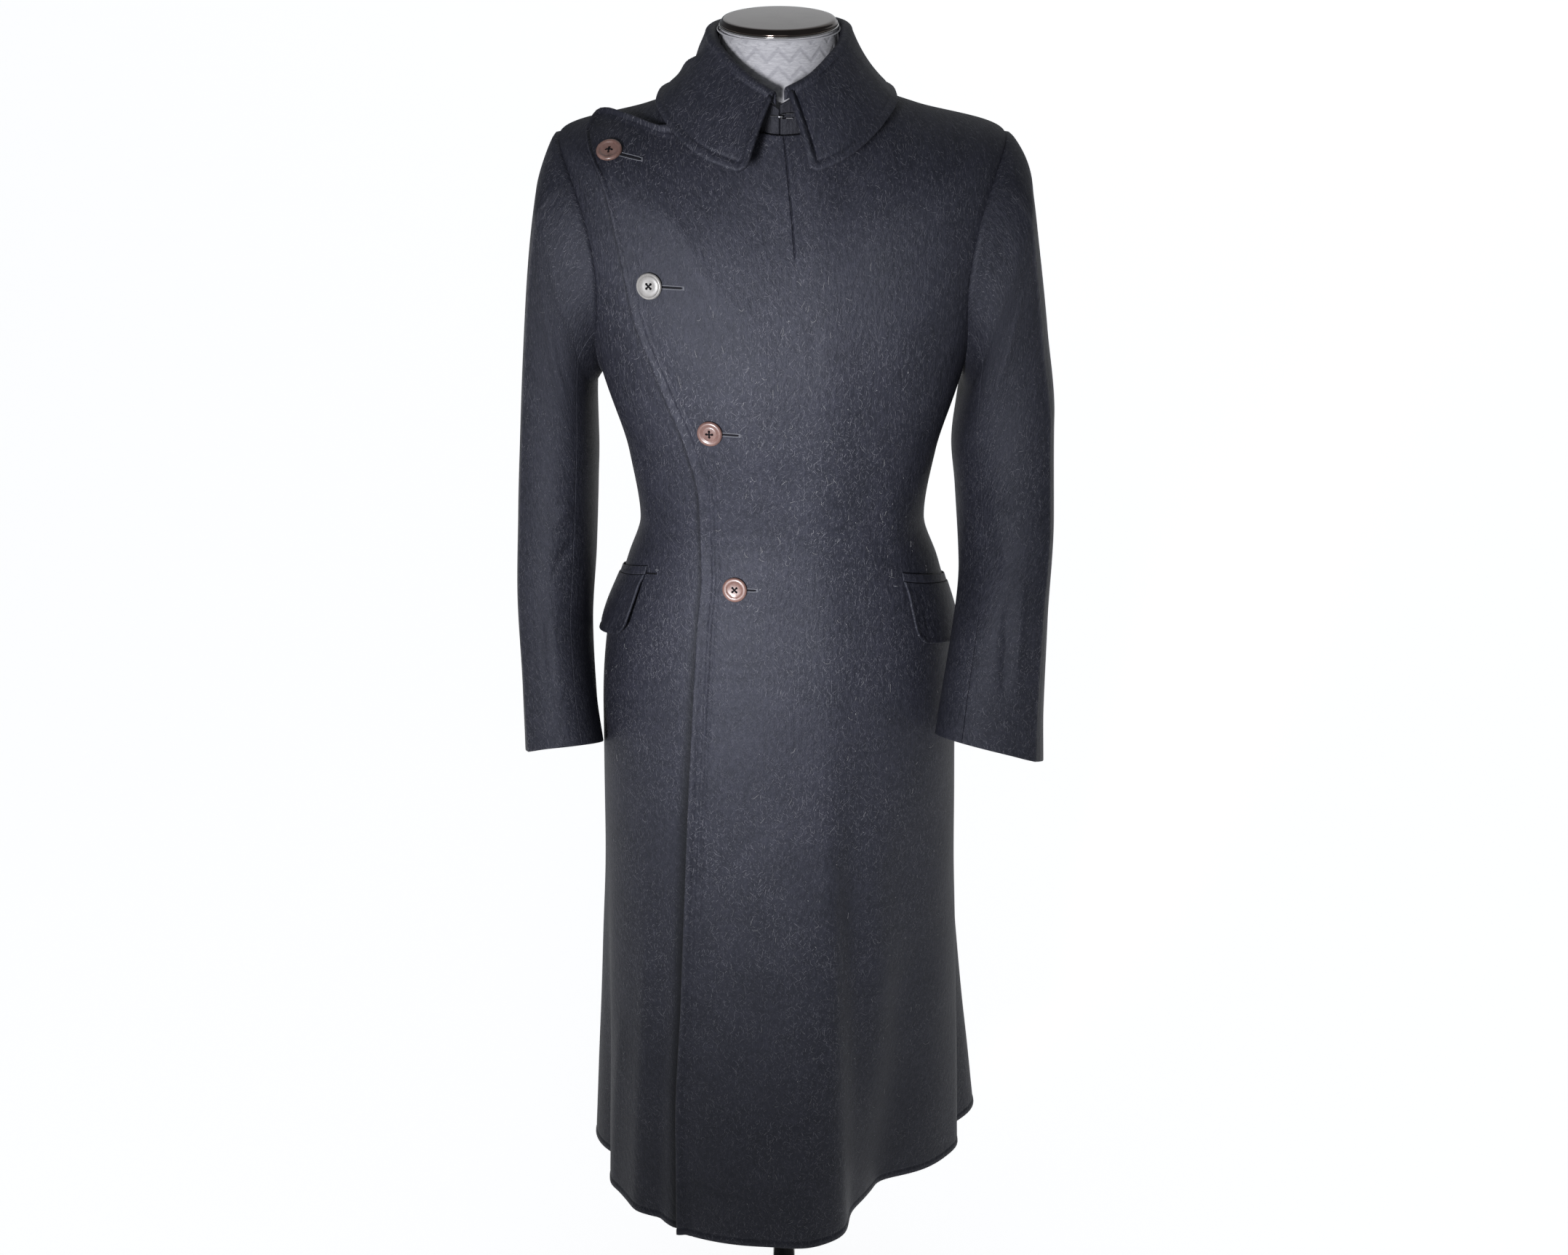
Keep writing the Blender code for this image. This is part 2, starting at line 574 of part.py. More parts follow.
def make_hook_and_eye(steel):
    """A bent wire hook on the stand's right end, caught in an eye on its left end."""
    foot, top = stand_lines()
    low, high = (foot[0] + foot[-1]) / 2, (top[0] + top[-1]) / 2
    up = (high - low) / np.linalg.norm(high - low)
    out = np.array([0, -up[2], up[1]])
    origin = low + (high - low) * HOOK_UP + out * STAND_CLOTH / 2
    axes = np.array([(1, 0, 0), up, out]) * MM
    wire("collar_hook", origin + np.array(HOOK_LINE) @ axes, HOOK_WIRE, steel)
    turns = np.radians(np.linspace(90, 270, 7))
    nose = [(EYE_HALF_WIDTH * math.cos(t), EYE_HALF_WIDTH * math.sin(t), EYE_RISE) for t in turns]
    seat_out = 0.9
    first = [(EYE_REACH, EYE_HALF_WIDTH, seat_out), (EYE_REACH / 2, EYE_HALF_WIDTH, seat_out)]
    last = [(x, -y, z) for x, y, z in first[::-1]]
    line = np.array(first + [(x + EYE_HALF_WIDTH, y, z) for x, y, z in nose] + last)
    wire("collar_eye", origin + line @ axes, HOOK_WIRE, steel)


def collar_angles(fold):
    """The angle round the body below each place of the fold line."""
    return np.degrees(np.arctan2(fold[:, 0], -fold[:, 1]))


def flap_top(angle, side):
    """The tape distance of a flap's top edge, which slants down towards the back."""
    front = LEFT_FLAP["start"] if side > 0 else -RIGHT_FLAP["end"]
    return FLAP_TAPE + FLAP_SLANT * (np.abs(angle) - front)


def flap_grid(start, end, flare, side):
    """Angles, tapes and lifts of a pocket flap, which hangs from its top edge and stands off the
    body towards its lower edge. Its front corner is rounded."""
    share = np.linspace(0, 1, 13)
    angle = start + (end - start) * share
    top = flap_top(angle, side)
    where = skin(angle, top + FLAP_DROP)
    run = np.concatenate([[0], np.cumsum(np.linalg.norm(np.diff(where, axis=0), axis=1))])
    if side < 0:
        run = run[-1] - run
    rest = np.clip(FLAP_CORNER - run, 0, FLAP_CORNER)
    drop = FLAP_DROP - FLAP_CORNER + np.sqrt(FLAP_CORNER**2 - rest**2)
    down = np.linspace(0, 1, 6)[:, None]
    tape = top + down * drop
    lift = WOOL + lap_lift(angle) * (side > 0) + POCKET_GAP + flare * down**1.3
    return np.repeat(angle[None], 6, 0), tape, lift + 0 * tape


def make_pocket(name, start, end, flare, side, wool):
    """A flap below a narrow welt that lies on the body."""
    angle, tape, lift = flap_grid(start, end, flare, side)
    wall(f"pocket_flap_{name}", body(angle, tape, lift), body(angle, tape, lift + FLAP_CLOTH), wool)
    angle = np.repeat(np.linspace(start, end, 13)[None], 2, 0)
    top = flap_top(angle[0], side) - SEAM
    tape = np.stack([top - WELT_HEIGHT, top])
    lift = WOOL + lap_lift(angle) * (side > 0) + POCKET_GAP
    wall(f"pocket_welt_{name}", body(angle, tape, lift), body(angle, tape, lift + WELT_CLOTH), wool)


def lathe(name, profile, material, sides=20, oval=(1.0, 1.0)):
    """A turned solid from a profile of radius and height that starts and ends on the axis."""
    turn = np.linspace(0, 2 * math.pi, sides, endpoint=False)
    points, rings = [], []
    for radius, height in profile:
        if radius == 0:
            rings.append([len(points)])
            points.append((0, 0, height))
            continue
        rings.append(list(range(len(points), len(points) + sides)))
        ring = np.stack([radius * oval[0] * np.cos(turn), radius * oval[1] * np.sin(turn)], -1)
        points += [(x, y, height) for x, y in ring]
    faces = []
    for low, high in zip(rings[:-1], rings[1:]):
        for j in range(sides):
            k = (j + 1) % sides
            if len(low) == 1:
                faces.append((low[0], high[j], high[k]))
            elif len(high) == 1:
                faces.append((low[j], low[k], high[0]))
            else:
                faces.append((low[j], low[k], high[k], high[j]))
    return new_object(name, points, faces, material)


def make_button(button, panel, material):
    """A turned disc with a dished middle and four holes, lying on the left front."""
    radius, thick, rim = BUTTON_RADIUS, BUTTON_THICKNESS, button.rim * BUTTON_RADIUS
    edge = 0.0011
    profile = [
        (0, 0),
        (radius - 1.6 * edge, 0),
        (radius, edge),
        (radius, thick - edge),
        (radius - edge, thick),
        (rim + edge, thick),
        (rim - edge / 2, thick - button.dish * MM),
        (0, thick - button.dish * MM),
    ]
    disc = lathe(button.name, profile, material)
    centre_angle = float(angle_at(button.across * MM, button.tape * MM))
    low, high = body(centre_angle, button.tape * MM, 0.0), body(centre_angle, button.tape * MM, 0.05)
    axis = (high - low) / 0.05
    disc.location = seat(panel, high, axis, radius) + axis * SEAM
    disc.rotation_euler = to_axis(axis)
    for i in range(4):
        turn = math.radians(button.turn + 90 * i)
        place = (HOLE_PLACE * math.cos(turn), HOLE_PLACE * math.sin(turn))
        drill(disc, place, f"{button.name}_hole_{i}")


def seat(panel, above, axis, radius):
    """Where a flat disc that comes down along an axis first meets a panel."""
    side = np.cross(axis, (0, 0, 1.0))
    side = side / np.linalg.norm(side)
    up = np.cross(side, axis)
    reach = []
    for share, turn in [(0, 0)] + [(s / 4, t) for s in range(1, 5) for t in range(0, 360, 15)]:
        place = side * math.cos(math.radians(turn)) + up * math.sin(math.radians(turn))
        start = above + place * share * radius
        reach.append((Vector(start) - panel.ray_cast(start, -axis)[1]).length)
    return above - axis * min(reach)


def to_axis(axis):
    """The rotation that turns +Z to an axis while the button's own X stays level."""
    return Vector(axis).to_track_quat("Z", "Y").to_euler()


def drill(disc, place, name):
    """Cuts a small round hole through a button, with a hidden cutter parented to it."""
    work = bmesh.new()
    bmesh.ops.create_cone(
        work, cap_ends=True, segments=6, radius1=HOLE_RADIUS, radius2=HOLE_RADIUS, depth=0.02
    )
    mesh = bpy.data.meshes.new(name)
    work.to_mesh(mesh)
    work.free()
    cutter = bpy.data.objects.new(name, mesh)
    bpy.context.scene.collection.objects.link(cutter)
    cutter.location = (place[0], place[1], BUTTON_THICKNESS / 2)
    cutter.parent = disc
    cutter.hide_render = True
    cutter.display_type = "WIRE"
    cut = disc.modifiers.new(name, "BOOLEAN")
    cut.operation = "DIFFERENCE"
    cut.solver = "EXACT"
    cut.object = cutter


def form_angles(tapes):
    """The form's columns: the panels' own, so that its shoulders lie evenly inside theirs."""
    right = right_front_angles(tapes)
    left = between(right[:, -1], front_bound(tapes), 9)[:, 1:]
    back = back_angles(tapes)
    return np.concatenate([right, left, back[:, :-1], 180 + 0 * back[:, :1], -back[:, -2::-1]], 1)


def form_clearance(angle, tape):
    """How far the form's skin lies inside the coat. It is closest along the shoulders."""
    clear = smooth(tape, column(FORM, "tape") * MM, column(FORM, "clearance") * MM)
    loose = FORM_LOOSE * ease((angle + 30) / 20) * ease((130 - angle) / 30)
    return clear + loose


def neck_ring(angle, share):
    """A level-to-leaning ring of the form's neck, from the torso (0) to its top (1)."""
    low = body(angle, 0.0, -form_clearance(angle, 0.0))
    a = np.radians(angle)
    deep = np.where(np.cos(a) > 0, NECK_FRONT, NECK_BACK)
    x, y = NECK_HALF_WIDTH * np.sin(a) + NECK_CENTRE, -deep * np.cos(a)
    top = np.stack([x, y, HEM_HEIGHT + NECK_TOP + y * math.tan(NECK_LEAN)], -1)
    narrow = np.array([1 - (1 - share) ** 2.5] * 2 + [share])
    return low * (1 - narrow) + top * narrow


def make_form(cover, chrome, metal):
    """A limbless torso with a neck cap, on a pole and a round base."""
    tapes = body_rows()
    tapes = tapes[tapes < TIP + 0.001]
    tapes = np.concatenate([tapes, spread(TIP, (ARMPIT, 4), (WAIST, 3), (FORM[-1].tape * MM, 4))[1:]])
    angle = form_angles(tapes)
    rings = [neck_ring(angle[0], share) for share in (1.0, 0.75, 0.5, 0.25)]
    inside = form_clearance(angle, tapes[:, None])
    rings += list(body(angle, tapes[:, None], -inside))
    rings = np.array(rings)
    rows, cols = rings.shape[:2]
    points = np.concatenate([rings.reshape(-1, 3), rings[[0, -1]].mean(1)])
    faces = []
    for j in range(cols):
        k = (j + 1) % cols
        faces.append((rows * cols, j, k))
        faces.append((rows * cols + 1, (rows - 1) * cols + k, (rows - 1) * cols + j))
        for i in range(rows - 1):
            a, b, c, d = i * cols + j, i * cols + k, (i + 1) * cols + k, (i + 1) * cols + j
            faces += [(a, c, b), (a, d, c)]
    new_object("form_torso", points, faces, cover)

    width, deep = NECK_HALF_WIDTH + 0.001, (NECK_FRONT + NECK_BACK) / 2 + 0.001
    profile = [(0, 0), (0.97, 0), (1, 0.002), (1, CAP_HEIGHT - 0.003), (0.97, CAP_HEIGHT - 0.001)]
    profile += [(0.92, CAP_HEIGHT - 0.002), (0.45, CAP_HEIGHT - 0.001), (0, CAP_HEIGHT)]
    cap = lathe("form_neck_cap", profile, chrome, 40, (width, deep))
    middle = (NECK_BACK - NECK_FRONT) / 2
    rise = middle * math.tan(NECK_LEAN)
    cap.location = (NECK_CENTRE, middle, HEM_HEIGHT + NECK_TOP + rise + SEAM / math.cos(NECK_LEAN))
    cap.rotation_euler = (NECK_LEAN, 0, 0)

    torso_end = float(rings[-1][:, 2].mean())
    profile = [(0, BASE_THICKNESS + 0.03 + SEAM), (POLE_RADIUS, BASE_THICKNESS + 0.03 + SEAM)]
    profile += [(POLE_RADIUS, torso_end - SEAM), (0, torso_end - SEAM)]
    lathe("stand_pole", profile, chrome)
    bevel = 0.004
    profile = [(0, 0), (BASE_RADIUS, 0), (BASE_RADIUS, BASE_THICKNESS - bevel)]
    profile += [(BASE_RADIUS - bevel, BASE_THICKNESS), (0.034, BASE_THICKNESS)]
    profile += [(0.026, BASE_THICKNESS + 0.03), (0, BASE_THICKNESS + 0.03)]
    lathe("stand_base", profile, metal, 48)


def wire(name, points, thickness, material):
    """A bent wire along a short smooth curve."""
    curve = bpy.data.curves.new(name, "CURVE")
    curve.dimensions = "3D"
    curve.bevel_depth = thickness / 2
    curve.bevel_resolution = 1
    curve.use_fill_caps = True
    spline = curve.splines.new("POLY")
    spline.points.add(len(points) - 1)
    for point, place in zip(spline.points, points):
        point.co = (*place, 1)
    curve.materials.append(material)
    thing = bpy.data.objects.new(name, curve)
    bpy.context.scene.collection.objects.link(thing)
    return thing


def material(name, colour, roughness, metallic=0.0):
    """A Principled material of one colour."""
    made = bpy.data.materials.new(name)
    made.use_nodes = True
    shader = made.node_tree.nodes["Principled BSDF"]
    shader.inputs["Base Color"].default_value = (*colour, 1)
    shader.inputs["Roughness"].default_value = roughness
    shader.inputs["Metallic"].default_value = metallic
    return made


def main():
    for thing in list(bpy.data.objects):
        bpy.data.objects.remove(thing)
    wool = material("wool", (0.030, 0.032, 0.042), 0.95)
    black = material("stand_cloth", (0.008, 0.008, 0.011), 0.9)
    brown = material("button", (0.30, 0.13, 0.10), 0.3)
    pale = material("button_pale", (0.45, 0.42, 0.38), 0.35)
    cover = material("form_cover", (0.62, 0.62, 0.66), 0.8)
    chrome = material("chrome", (0.55, 0.55, 0.56), 0.12, 1.0)
    metal = material("stand_paint", (0.05, 0.05, 0.055), 0.4)
    steel = material("hook_steel", (0.35, 0.35, 0.36), 0.3, 1.0)
    make_body(wool)
    make_sleeve("left", LEFT_SLEEVE, 1, wool)
    make_sleeve("right", RIGHT_SLEEVE, -1, wool)
    make_collar(wool, black)
    make_hook_and_eye(steel)
    make_pocket("left", side=1, wool=wool, **LEFT_FLAP)
    make_pocket("right", side=-1, wool=wool, **RIGHT_FLAP)
    for row in BUTTONS:
        make_button(row, bpy.data.objects["front_left"], pale if row.finish == "pale" else brown)
    make_form(cover, chrome, metal)


main()
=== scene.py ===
# %% [markdown]
# # A military greatcoat on a dress form
# A long coat of heavy dark wool hangs on a limbless dress form. Its left front laps over to the
# right shoulder and closes on a slant with four odd buttons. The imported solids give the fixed
# frame; here each cloth piece is made again as a fine shell, with its rolled edges, seams, creases
# and nap. Could the solids be kept and only painted? Their walls are coarse and their edges square,
# so a new shell from the same named sizes is better, and it lies where its solid lies.

# %% Load the frame
import math
from collections import namedtuple
from functools import reduce

import bpy
import numpy as np
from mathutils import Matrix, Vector


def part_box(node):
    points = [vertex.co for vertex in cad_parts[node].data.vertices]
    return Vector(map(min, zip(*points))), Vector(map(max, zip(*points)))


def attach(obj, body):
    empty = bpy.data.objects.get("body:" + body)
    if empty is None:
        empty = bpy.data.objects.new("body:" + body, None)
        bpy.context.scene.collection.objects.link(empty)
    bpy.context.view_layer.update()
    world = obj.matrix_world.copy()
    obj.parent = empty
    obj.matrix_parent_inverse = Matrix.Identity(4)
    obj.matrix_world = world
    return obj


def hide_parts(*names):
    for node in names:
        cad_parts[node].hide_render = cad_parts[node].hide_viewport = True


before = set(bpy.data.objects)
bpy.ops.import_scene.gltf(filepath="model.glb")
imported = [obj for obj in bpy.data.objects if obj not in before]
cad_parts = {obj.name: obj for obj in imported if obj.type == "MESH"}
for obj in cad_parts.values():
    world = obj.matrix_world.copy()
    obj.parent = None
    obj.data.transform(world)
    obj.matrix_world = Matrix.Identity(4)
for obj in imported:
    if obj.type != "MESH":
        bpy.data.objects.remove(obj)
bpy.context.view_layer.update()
MM = 0.001

# %% [markdown]
# ## The coat's sizes
# A tailor drafts a coat from a table of girths and lengths. These tables hold the same sizes as
# the solids: the body's level lines in millimetres, the folds of the skirt, and the lap's edge.
# Angles run round the body: 0 at the centre front, 90 at the wearer's left side.

# %% Sizes of the body
HEM_HEIGHT = 0.330
WOOL = 0.0028
COLLAR_CLOTH = 0.0040
STAND_CLOTH = 0.0026
FLAP_CLOTH = 0.0026
WELT_CLOTH = 0.0016
SEAM = 0.0003

Level = namedtuple("Level", "name left right front back z_side z_front z_back square")
BODY = [
    Level("neck seam", 73, 77, 80, 62, 1243, 1205, 1266, 2.0),
    Level("mid shoulder", 130, 134, 104, 88, 1226, 1150, 1208, 2.1),
    Level("shoulder tip", 215, 218, 127, 115, 1199, 1075, 1140, 2.3),
    Level("upper armhole", 220, 223, 136, 124, 1141, 1020, 1085, 2.4),
    Level("mid armhole", 200, 205, 140, 127, 1054, 967, 1012, 2.4),
    Level("armpit", 178, 182, 138, 120, 966, 926, 944, 2.4),
    Level("ribs", 156, 159, 131, 106, 888, 874, 878, 2.4),
    Level("waist", 145, 149, 125, 96, 812, 812, 812, 2.3),
    Level("hip bone", 163, 166, 129, 116, 756, 756, 756, 2.2),
    Level("upper hip", 180, 188, 138, 138, 690, 690, 690, 2.2),
    Level("seat", 186, 197, 149, 155, 590, 590, 590, 2.2),
    Level("thigh", 191, 200, 160, 171, 450, 450, 450, 2.2),
    Level("knee", 199, 208, 172, 190, 290, 290, 290, 2.2),
    Level("calf", 206, 216, 184, 206, 130, 130, 130, 2.2),
    Level("hem", 210, 222, 192, 216, 0, 0, 0, 2.2),
]
SHOULDER_ROUND = 1.6
Fold = namedtuple("Fold", "name angle width depth top")
FOLDS = [
    Fold("front roll", 8, 9, 5, 560),
    Fold("swing of the left front", 50, 23, -74, 640),
    Fold("left side ridge", 86, 6, 6, 400),
    Fold("left side valley", 95, 5, -14, 420),
    Fold("left back flare", 108, 11, 36, 440),
    Fold("left back valley", 132, 9, -13, 480),
    Fold("back flare at the left", 156, 10, 14, 560),
    Fold("centre back valley", 178, 9, -13, 520),
    Fold("back flare at the right", -158, 10, 17, 560),
    Fold("right back valley", -138, 9, -16, 500),
    Fold("right back flare", -117, 10, 16, 520),
    Fold("right side ridge", -93, 6, 8, 420),
    Fold("right side valley", -78, 6, -20, 460),
    Fold("right front ridge", -62, 8, -2, 520),
    Fold("right front valley", -44, 6, -5, 600),
]
FOLD_GROWTH = 1.4
ARMHOLE_FRONT, ARMHOLE_BACK, ARMHOLE_ROUND = 27.0, 27.0, 0.5
SIDE_SEAM_BACK, SIDE_REACH = 20.0, 0.2
Edge = namedtuple("Edge", "name tape across")
LAP_EDGE = [
    Edge("neck", 0, -60),
    Edge("under the collar", 32, -90),
    Edge("collar edge", 60, -116),
    Edge("shoulder", 77, -148),
    Edge("before the corner", 88, -168),
    Edge("corner's top", 98, -181),
    Edge("shoulder corner", 109, -188),
    Edge("corner's side", 119, -184),
    Edge("below the corner", 137, -169),
    Edge("upper chest", 177, -155),
    Edge("chest", 227, -140),
    Edge("lower chest", 262, -118),
    Edge("ribs", 302, -95),
    Edge("above the waist", 358, -82),
    Edge("below the waist", 433, -81),
    Edge("hip", 488, -86),
    Edge("seat", 580, -92),
    Edge("thigh", 730, -100),
    Edge("knee", 905, -108),
    Edge("calf", 1085, -117),
    Edge("hem", 1218, -118),
]
LAP_CORNER = 0.109
LAP_STEP = (14.0, 34.0)
LAP_GAP = 0.0006

# %% [markdown]
# ## The skin of the body
# A coat's surface is smooth between its level lines, so each column of the table is read by a
# curve that never overshoots. A section is a superellipse, which is fuller at its corners than an
# ellipse, as cloth over a chest is. Every piece that lies on the body is a patch of this one skin,
# moved out along its normal, so that layers stay parallel and never cut through each other.

# %% Curves and the skin
def column(rows, name):
    """One named column of a table, as an array."""
    return np.array([getattr(row, name) for row in rows], float)


def smooth(at, knots, values):
    """Monotone cubic through the rows: the slope at a row is the harmonic mean of its sides'."""
    knots, values = np.asarray(knots, float), np.asarray(values, float)
    step = np.diff(knots)
    rise = np.diff(values) / step
    product = rise[:-1] * rise[1:]
    total = np.where(product > 0, rise[:-1] + rise[1:], 1.0)
    slope = np.concatenate([rise[:1], np.where(product > 0, 2 * product / total, 0), rise[-1:]])
    at = np.clip(at, knots[0], knots[-1])
    i = np.clip(np.searchsorted(knots, at, side="right") - 1, 0, len(step) - 1)
    s, h = (at - knots[i]) / step[i], step[i]
    start = (1 + 2 * s) * (1 - s) ** 2 * values[i] + s * (1 - s) ** 2 * h * slope[i]
    end = s**2 * (3 - 2 * s) * values[i + 1] + s**2 * (s - 1) * h * slope[i + 1]
    return start + end


def ease(share):
    """0 to 1 with level ends: 3s^2 - 2s^3."""
    share = np.clip(share, 0, 1)
    return share * share * (3 - 2 * share)


def run_along(points):
    """The distance run along a line of points, or along each row of a grid of them."""
    step = np.linalg.norm(np.diff(points, axis=-2), axis=-1)
    return np.concatenate([0 * step[..., :1], np.cumsum(step, -1)], -1)


TAPE = run_along(np.stack([column(BODY, "front"), column(BODY, "z_front")], -1) * MM)
TIP, ARMPIT, WAIST, HEM = (TAPE[i] for i in (2, 5, 7, 14))


def folds(angle, height):
    """The skirt's folds: bells across the angle that grow as a power of the way down."""
    push = np.zeros(np.broadcast(angle, height).shape)
    for fold in FOLDS:
        turn = (angle - fold.angle + 180) % 360 - 180
        share = np.clip(1 - height / (fold.top * MM), 0, 1) ** FOLD_GROWTH
        push = push + fold.depth * MM * share * np.exp(-((turn / fold.width) ** 2))
    return push


def skin(angle, tape):
    """The coat's inner face: reach = (|sin/half|^n + |cos/deep|^n)^(-1/n) at each angle, and a
    height that falls from the sides to the front and back as a power of the cosine."""
    angle, tape = np.broadcast_arrays(np.asarray(angle, float), np.asarray(tape, float))
    value = {c: smooth(tape, TAPE, column(BODY, c)) for c in Level._fields[1:]}
    turn = np.radians(angle)
    s, c = np.sin(turn), np.cos(turn)
    half = np.where(s > 0, value["left"], value["right"]) * MM
    deep = np.where(c > 0, value["front"], value["back"]) * MM
    n = value["square"]
    reach = (np.abs(s / half) ** n + np.abs(c / deep) ** n) ** (-1 / n)
    fall = np.where(c > 0, value["z_front"], value["z_back"]) - value["z_side"]
    height = (value["z_side"] + fall * np.abs(c) ** SHOULDER_ROUND) * MM
    reach = reach + folds(angle, height)
    return np.stack([reach * s, -reach * c, height + HEM_HEIGHT], -1)


def unit(vectors):
    """Vectors scaled to length 1."""
    return vectors / np.linalg.norm(vectors, axis=-1, keepdims=True)


# Steps for the skin's slope, in degrees and metres, and the front's angles every half degree.
TURN_STEP, TAPE_STEP = 0.5, 0.002
FRONT_ANGLES = np.linspace(-89.5, 89.5, 359)


def body(angle, tape, out=0.0):
    """skin + out times its unit normal, the cross product of small steps down and along."""
    angle, tape, out = np.broadcast_arrays(*(np.asarray(v, float) for v in (angle, tape, out)))
    along = skin(angle + TURN_STEP, tape) - skin(angle - TURN_STEP, tape)
    lower, upper = (np.clip(tape + step, 0, HEM) for step in (TAPE_STEP, -TAPE_STEP))
    down = skin(angle, lower) - skin(angle, upper)
    return skin(angle, tape) + unit(np.cross(down, along)) * out[..., None]


def angle_at(across, tape):
    """The angle on the front whose x is that far across, read backwards from the section."""
    across, tape = np.broadcast_arrays(np.asarray(across, float), np.asarray(tape, float))
    pairs = zip(across.ravel(), tape.ravel())
    found = [np.interp(x, skin(FRONT_ANGLES, t)[:, 0], FRONT_ANGLES) for x, t in pairs]
    return np.array(found).reshape(across.shape)


def armhole_cut(tape, cut):
    """How far the armhole cuts into a panel: a rounded arch from the shoulder to the armpit."""
    share = np.clip((tape - TIP) / (ARMPIT - TIP), 0, 1)
    return cut * np.sin(np.pi * share) ** ARMHOLE_ROUND


def side_bound(tape, way):
    """The side edge of a front (way -1) or back (way 1): shoulder, armhole, then side seam."""
    cut = ARMHOLE_FRONT if way < 0 else ARMHOLE_BACK
    seam = SIDE_SEAM_BACK * ease((tape - ARMPIT) / (WAIST - ARMPIT))
    return 90 + way * (armhole_cut(tape, cut) + math.degrees(SEAM / 2 / SIDE_REACH)) + seam


def lap_edge(tape):
    """The angle of the left front's free edge. Its corner at the shoulder stays sharp."""
    corner = next(i for i, e in enumerate(LAP_EDGE) if e.name == "shoulder corner")
    upper, lower = LAP_EDGE[: corner + 1], LAP_EDGE[corner:]
    above, below = (smooth(tape, column(part, "tape") * MM, column(part, "across"))
                    for part in (upper, lower))
    across = np.where(tape < LAP_CORNER, above, below)
    return angle_at(across * MM, tape)


def lap_lift(angle):
    """The left front lies on the body at its own side and over the right front past its edge."""
    low, high = LAP_STEP
    return (WOOL + LAP_GAP) * ease((high - angle) / (high - low))


print("tape marks in mm", np.round(TAPE / MM).astype(int))

# %% [markdown]
# ## From two grids to one closed piece of cloth
# Cloth has two faces that meet in a rounded edge. A Solidify modifier gives a square rim, so both
# faces are worked out here: they share their rim points, and the thickness grows from nothing at
# the rim as a quarter circle. Each piece also gets a UV map in metres along the cloth, for the
# nap, and a value for rubbed edges and painted shade: towards 1 on an edge that rubs, towards -1
# where shade is painted into a groove.

# %% Make a cloth piece
def quarter(distance, radius):
    """A quarter circle: 0 at the rim, 1 from the radius inwards."""
    share = np.clip(distance / radius, 0, 1)
    return np.sqrt(share * (2 - share))


def bell(distance, width):
    """exp(-(d/w)^2)."""
    return np.exp(-((distance / width) ** 2))


def mesh_piece(name, points, faces, finish, uv=None, wear=None):
    """A mesh object from arrays, with its UV map and a point value of rubbed edges and painted shade."""
    mesh = bpy.data.meshes.new(name)
    mesh.from_pydata(points.reshape(-1, 3), [], faces)
    mesh.shade_smooth()
    if uv is not None:
        corner = np.empty(len(mesh.loops), np.int32)
        mesh.loops.foreach_get("vertex_index", corner)
        layer = mesh.uv_layers.new(name="cloth")
        layer.data.foreach_set("uv", uv.reshape(-1, 2)[corner].astype(np.float32).ravel())
    if wear is not None:
        value = mesh.attributes.new("wear", "FLOAT", "POINT")
        value.data.foreach_set("value", wear.astype(np.float32).ravel())
    mesh.materials.append(finish)
    piece = bpy.data.objects.new(name, mesh)
    bpy.context.scene.collection.objects.link(piece)
    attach(piece, "root")
    return piece


def squares(index):
    """The four corners of each square of a grid of point numbers, turning the same way."""
    a, b, c, d = index[:-1, :-1], index[:-1, 1:], index[1:, 1:], index[1:, :-1]
    return np.stack([a, b, c, d], -1).reshape(-1, 4)


def cloth(name, outer, inner, finish, uv, wear):
    """Two grids that share their rim: the outer face, then the inner one turned round. Where the
    grid's own normal points from the outer face to the inner one, all faces are turned."""
    rows, cols = outer.shape[:2]
    i, j = rows // 2, cols // 2
    normal = np.cross(outer[i + 1, j] - outer[i, j], outer[i, j + 1] - outer[i, j])
    turned = np.dot(normal, outer[i, j] - inner[i, j]) < 0
    inside = (rows - 2) * (cols - 2)
    top = np.arange(rows * cols).reshape(rows, cols)
    low = top.copy()
    low[1:-1, 1:-1] = rows * cols + np.arange(inside).reshape(rows - 2, cols - 2)
    face = (outer + inner) / 2
    face[1:-1, 1:-1] = outer[1:-1, 1:-1]
    points = np.concatenate([face.reshape(-1, 3), inner[1:-1, 1:-1].reshape(-1, 3)])
    faces = np.concatenate([squares(top)[:, ::-1], squares(low)])
    faces = faces[:, ::-1] if turned else faces
    uv, wear = (np.concatenate([v.reshape(rows * cols, -1), v[1:-1, 1:-1].reshape(inside, -1)])
                for v in (uv, wear))
    return mesh_piece(name, points, faces.tolist(), finish, uv, wear)


# Distances in from an edge at which columns or rows lie: close where the edge is rounded, and on
# over the lap's thick edge, above the hem, and to both sides of the dart.
RIM = np.array([0, 0.12, 0.45, 1.0, 1.8, 3.2]) * MM
WELT = np.array([0, 0.12, 0.45, 1.0, 1.8, 3.0, 4.4, 5.8, 7.2, 8.6, 10, 11.2, 12.3, 13.2, 14, 14.8, 15.7,
                 16.6, 17.6, 19, 21, 23.5]) * MM
HEM_ROWS = np.array([18.5, 17, 15.5, 14, 12.5, 11.2, 10.2, 9.2, 8.2, 7, 5.6, 4.2, *(RIM[::-1] / MM)]) * MM
FINE = np.array([0.15, 0.4, 0.8, 1.4, 2.4, 4.0]) * MM
DART = np.concatenate([-FINE[::-1], FINE])
# Samples of a row when its lengths are measured, the hem's band, and the distances between rows.
SAMPLES_ACROSS, HEM_BAND = 160, 0.020
ROW_STEP, SHOULDER_STEP, ARMHOLE_ARC = 0.0052, 0.003, 0.235


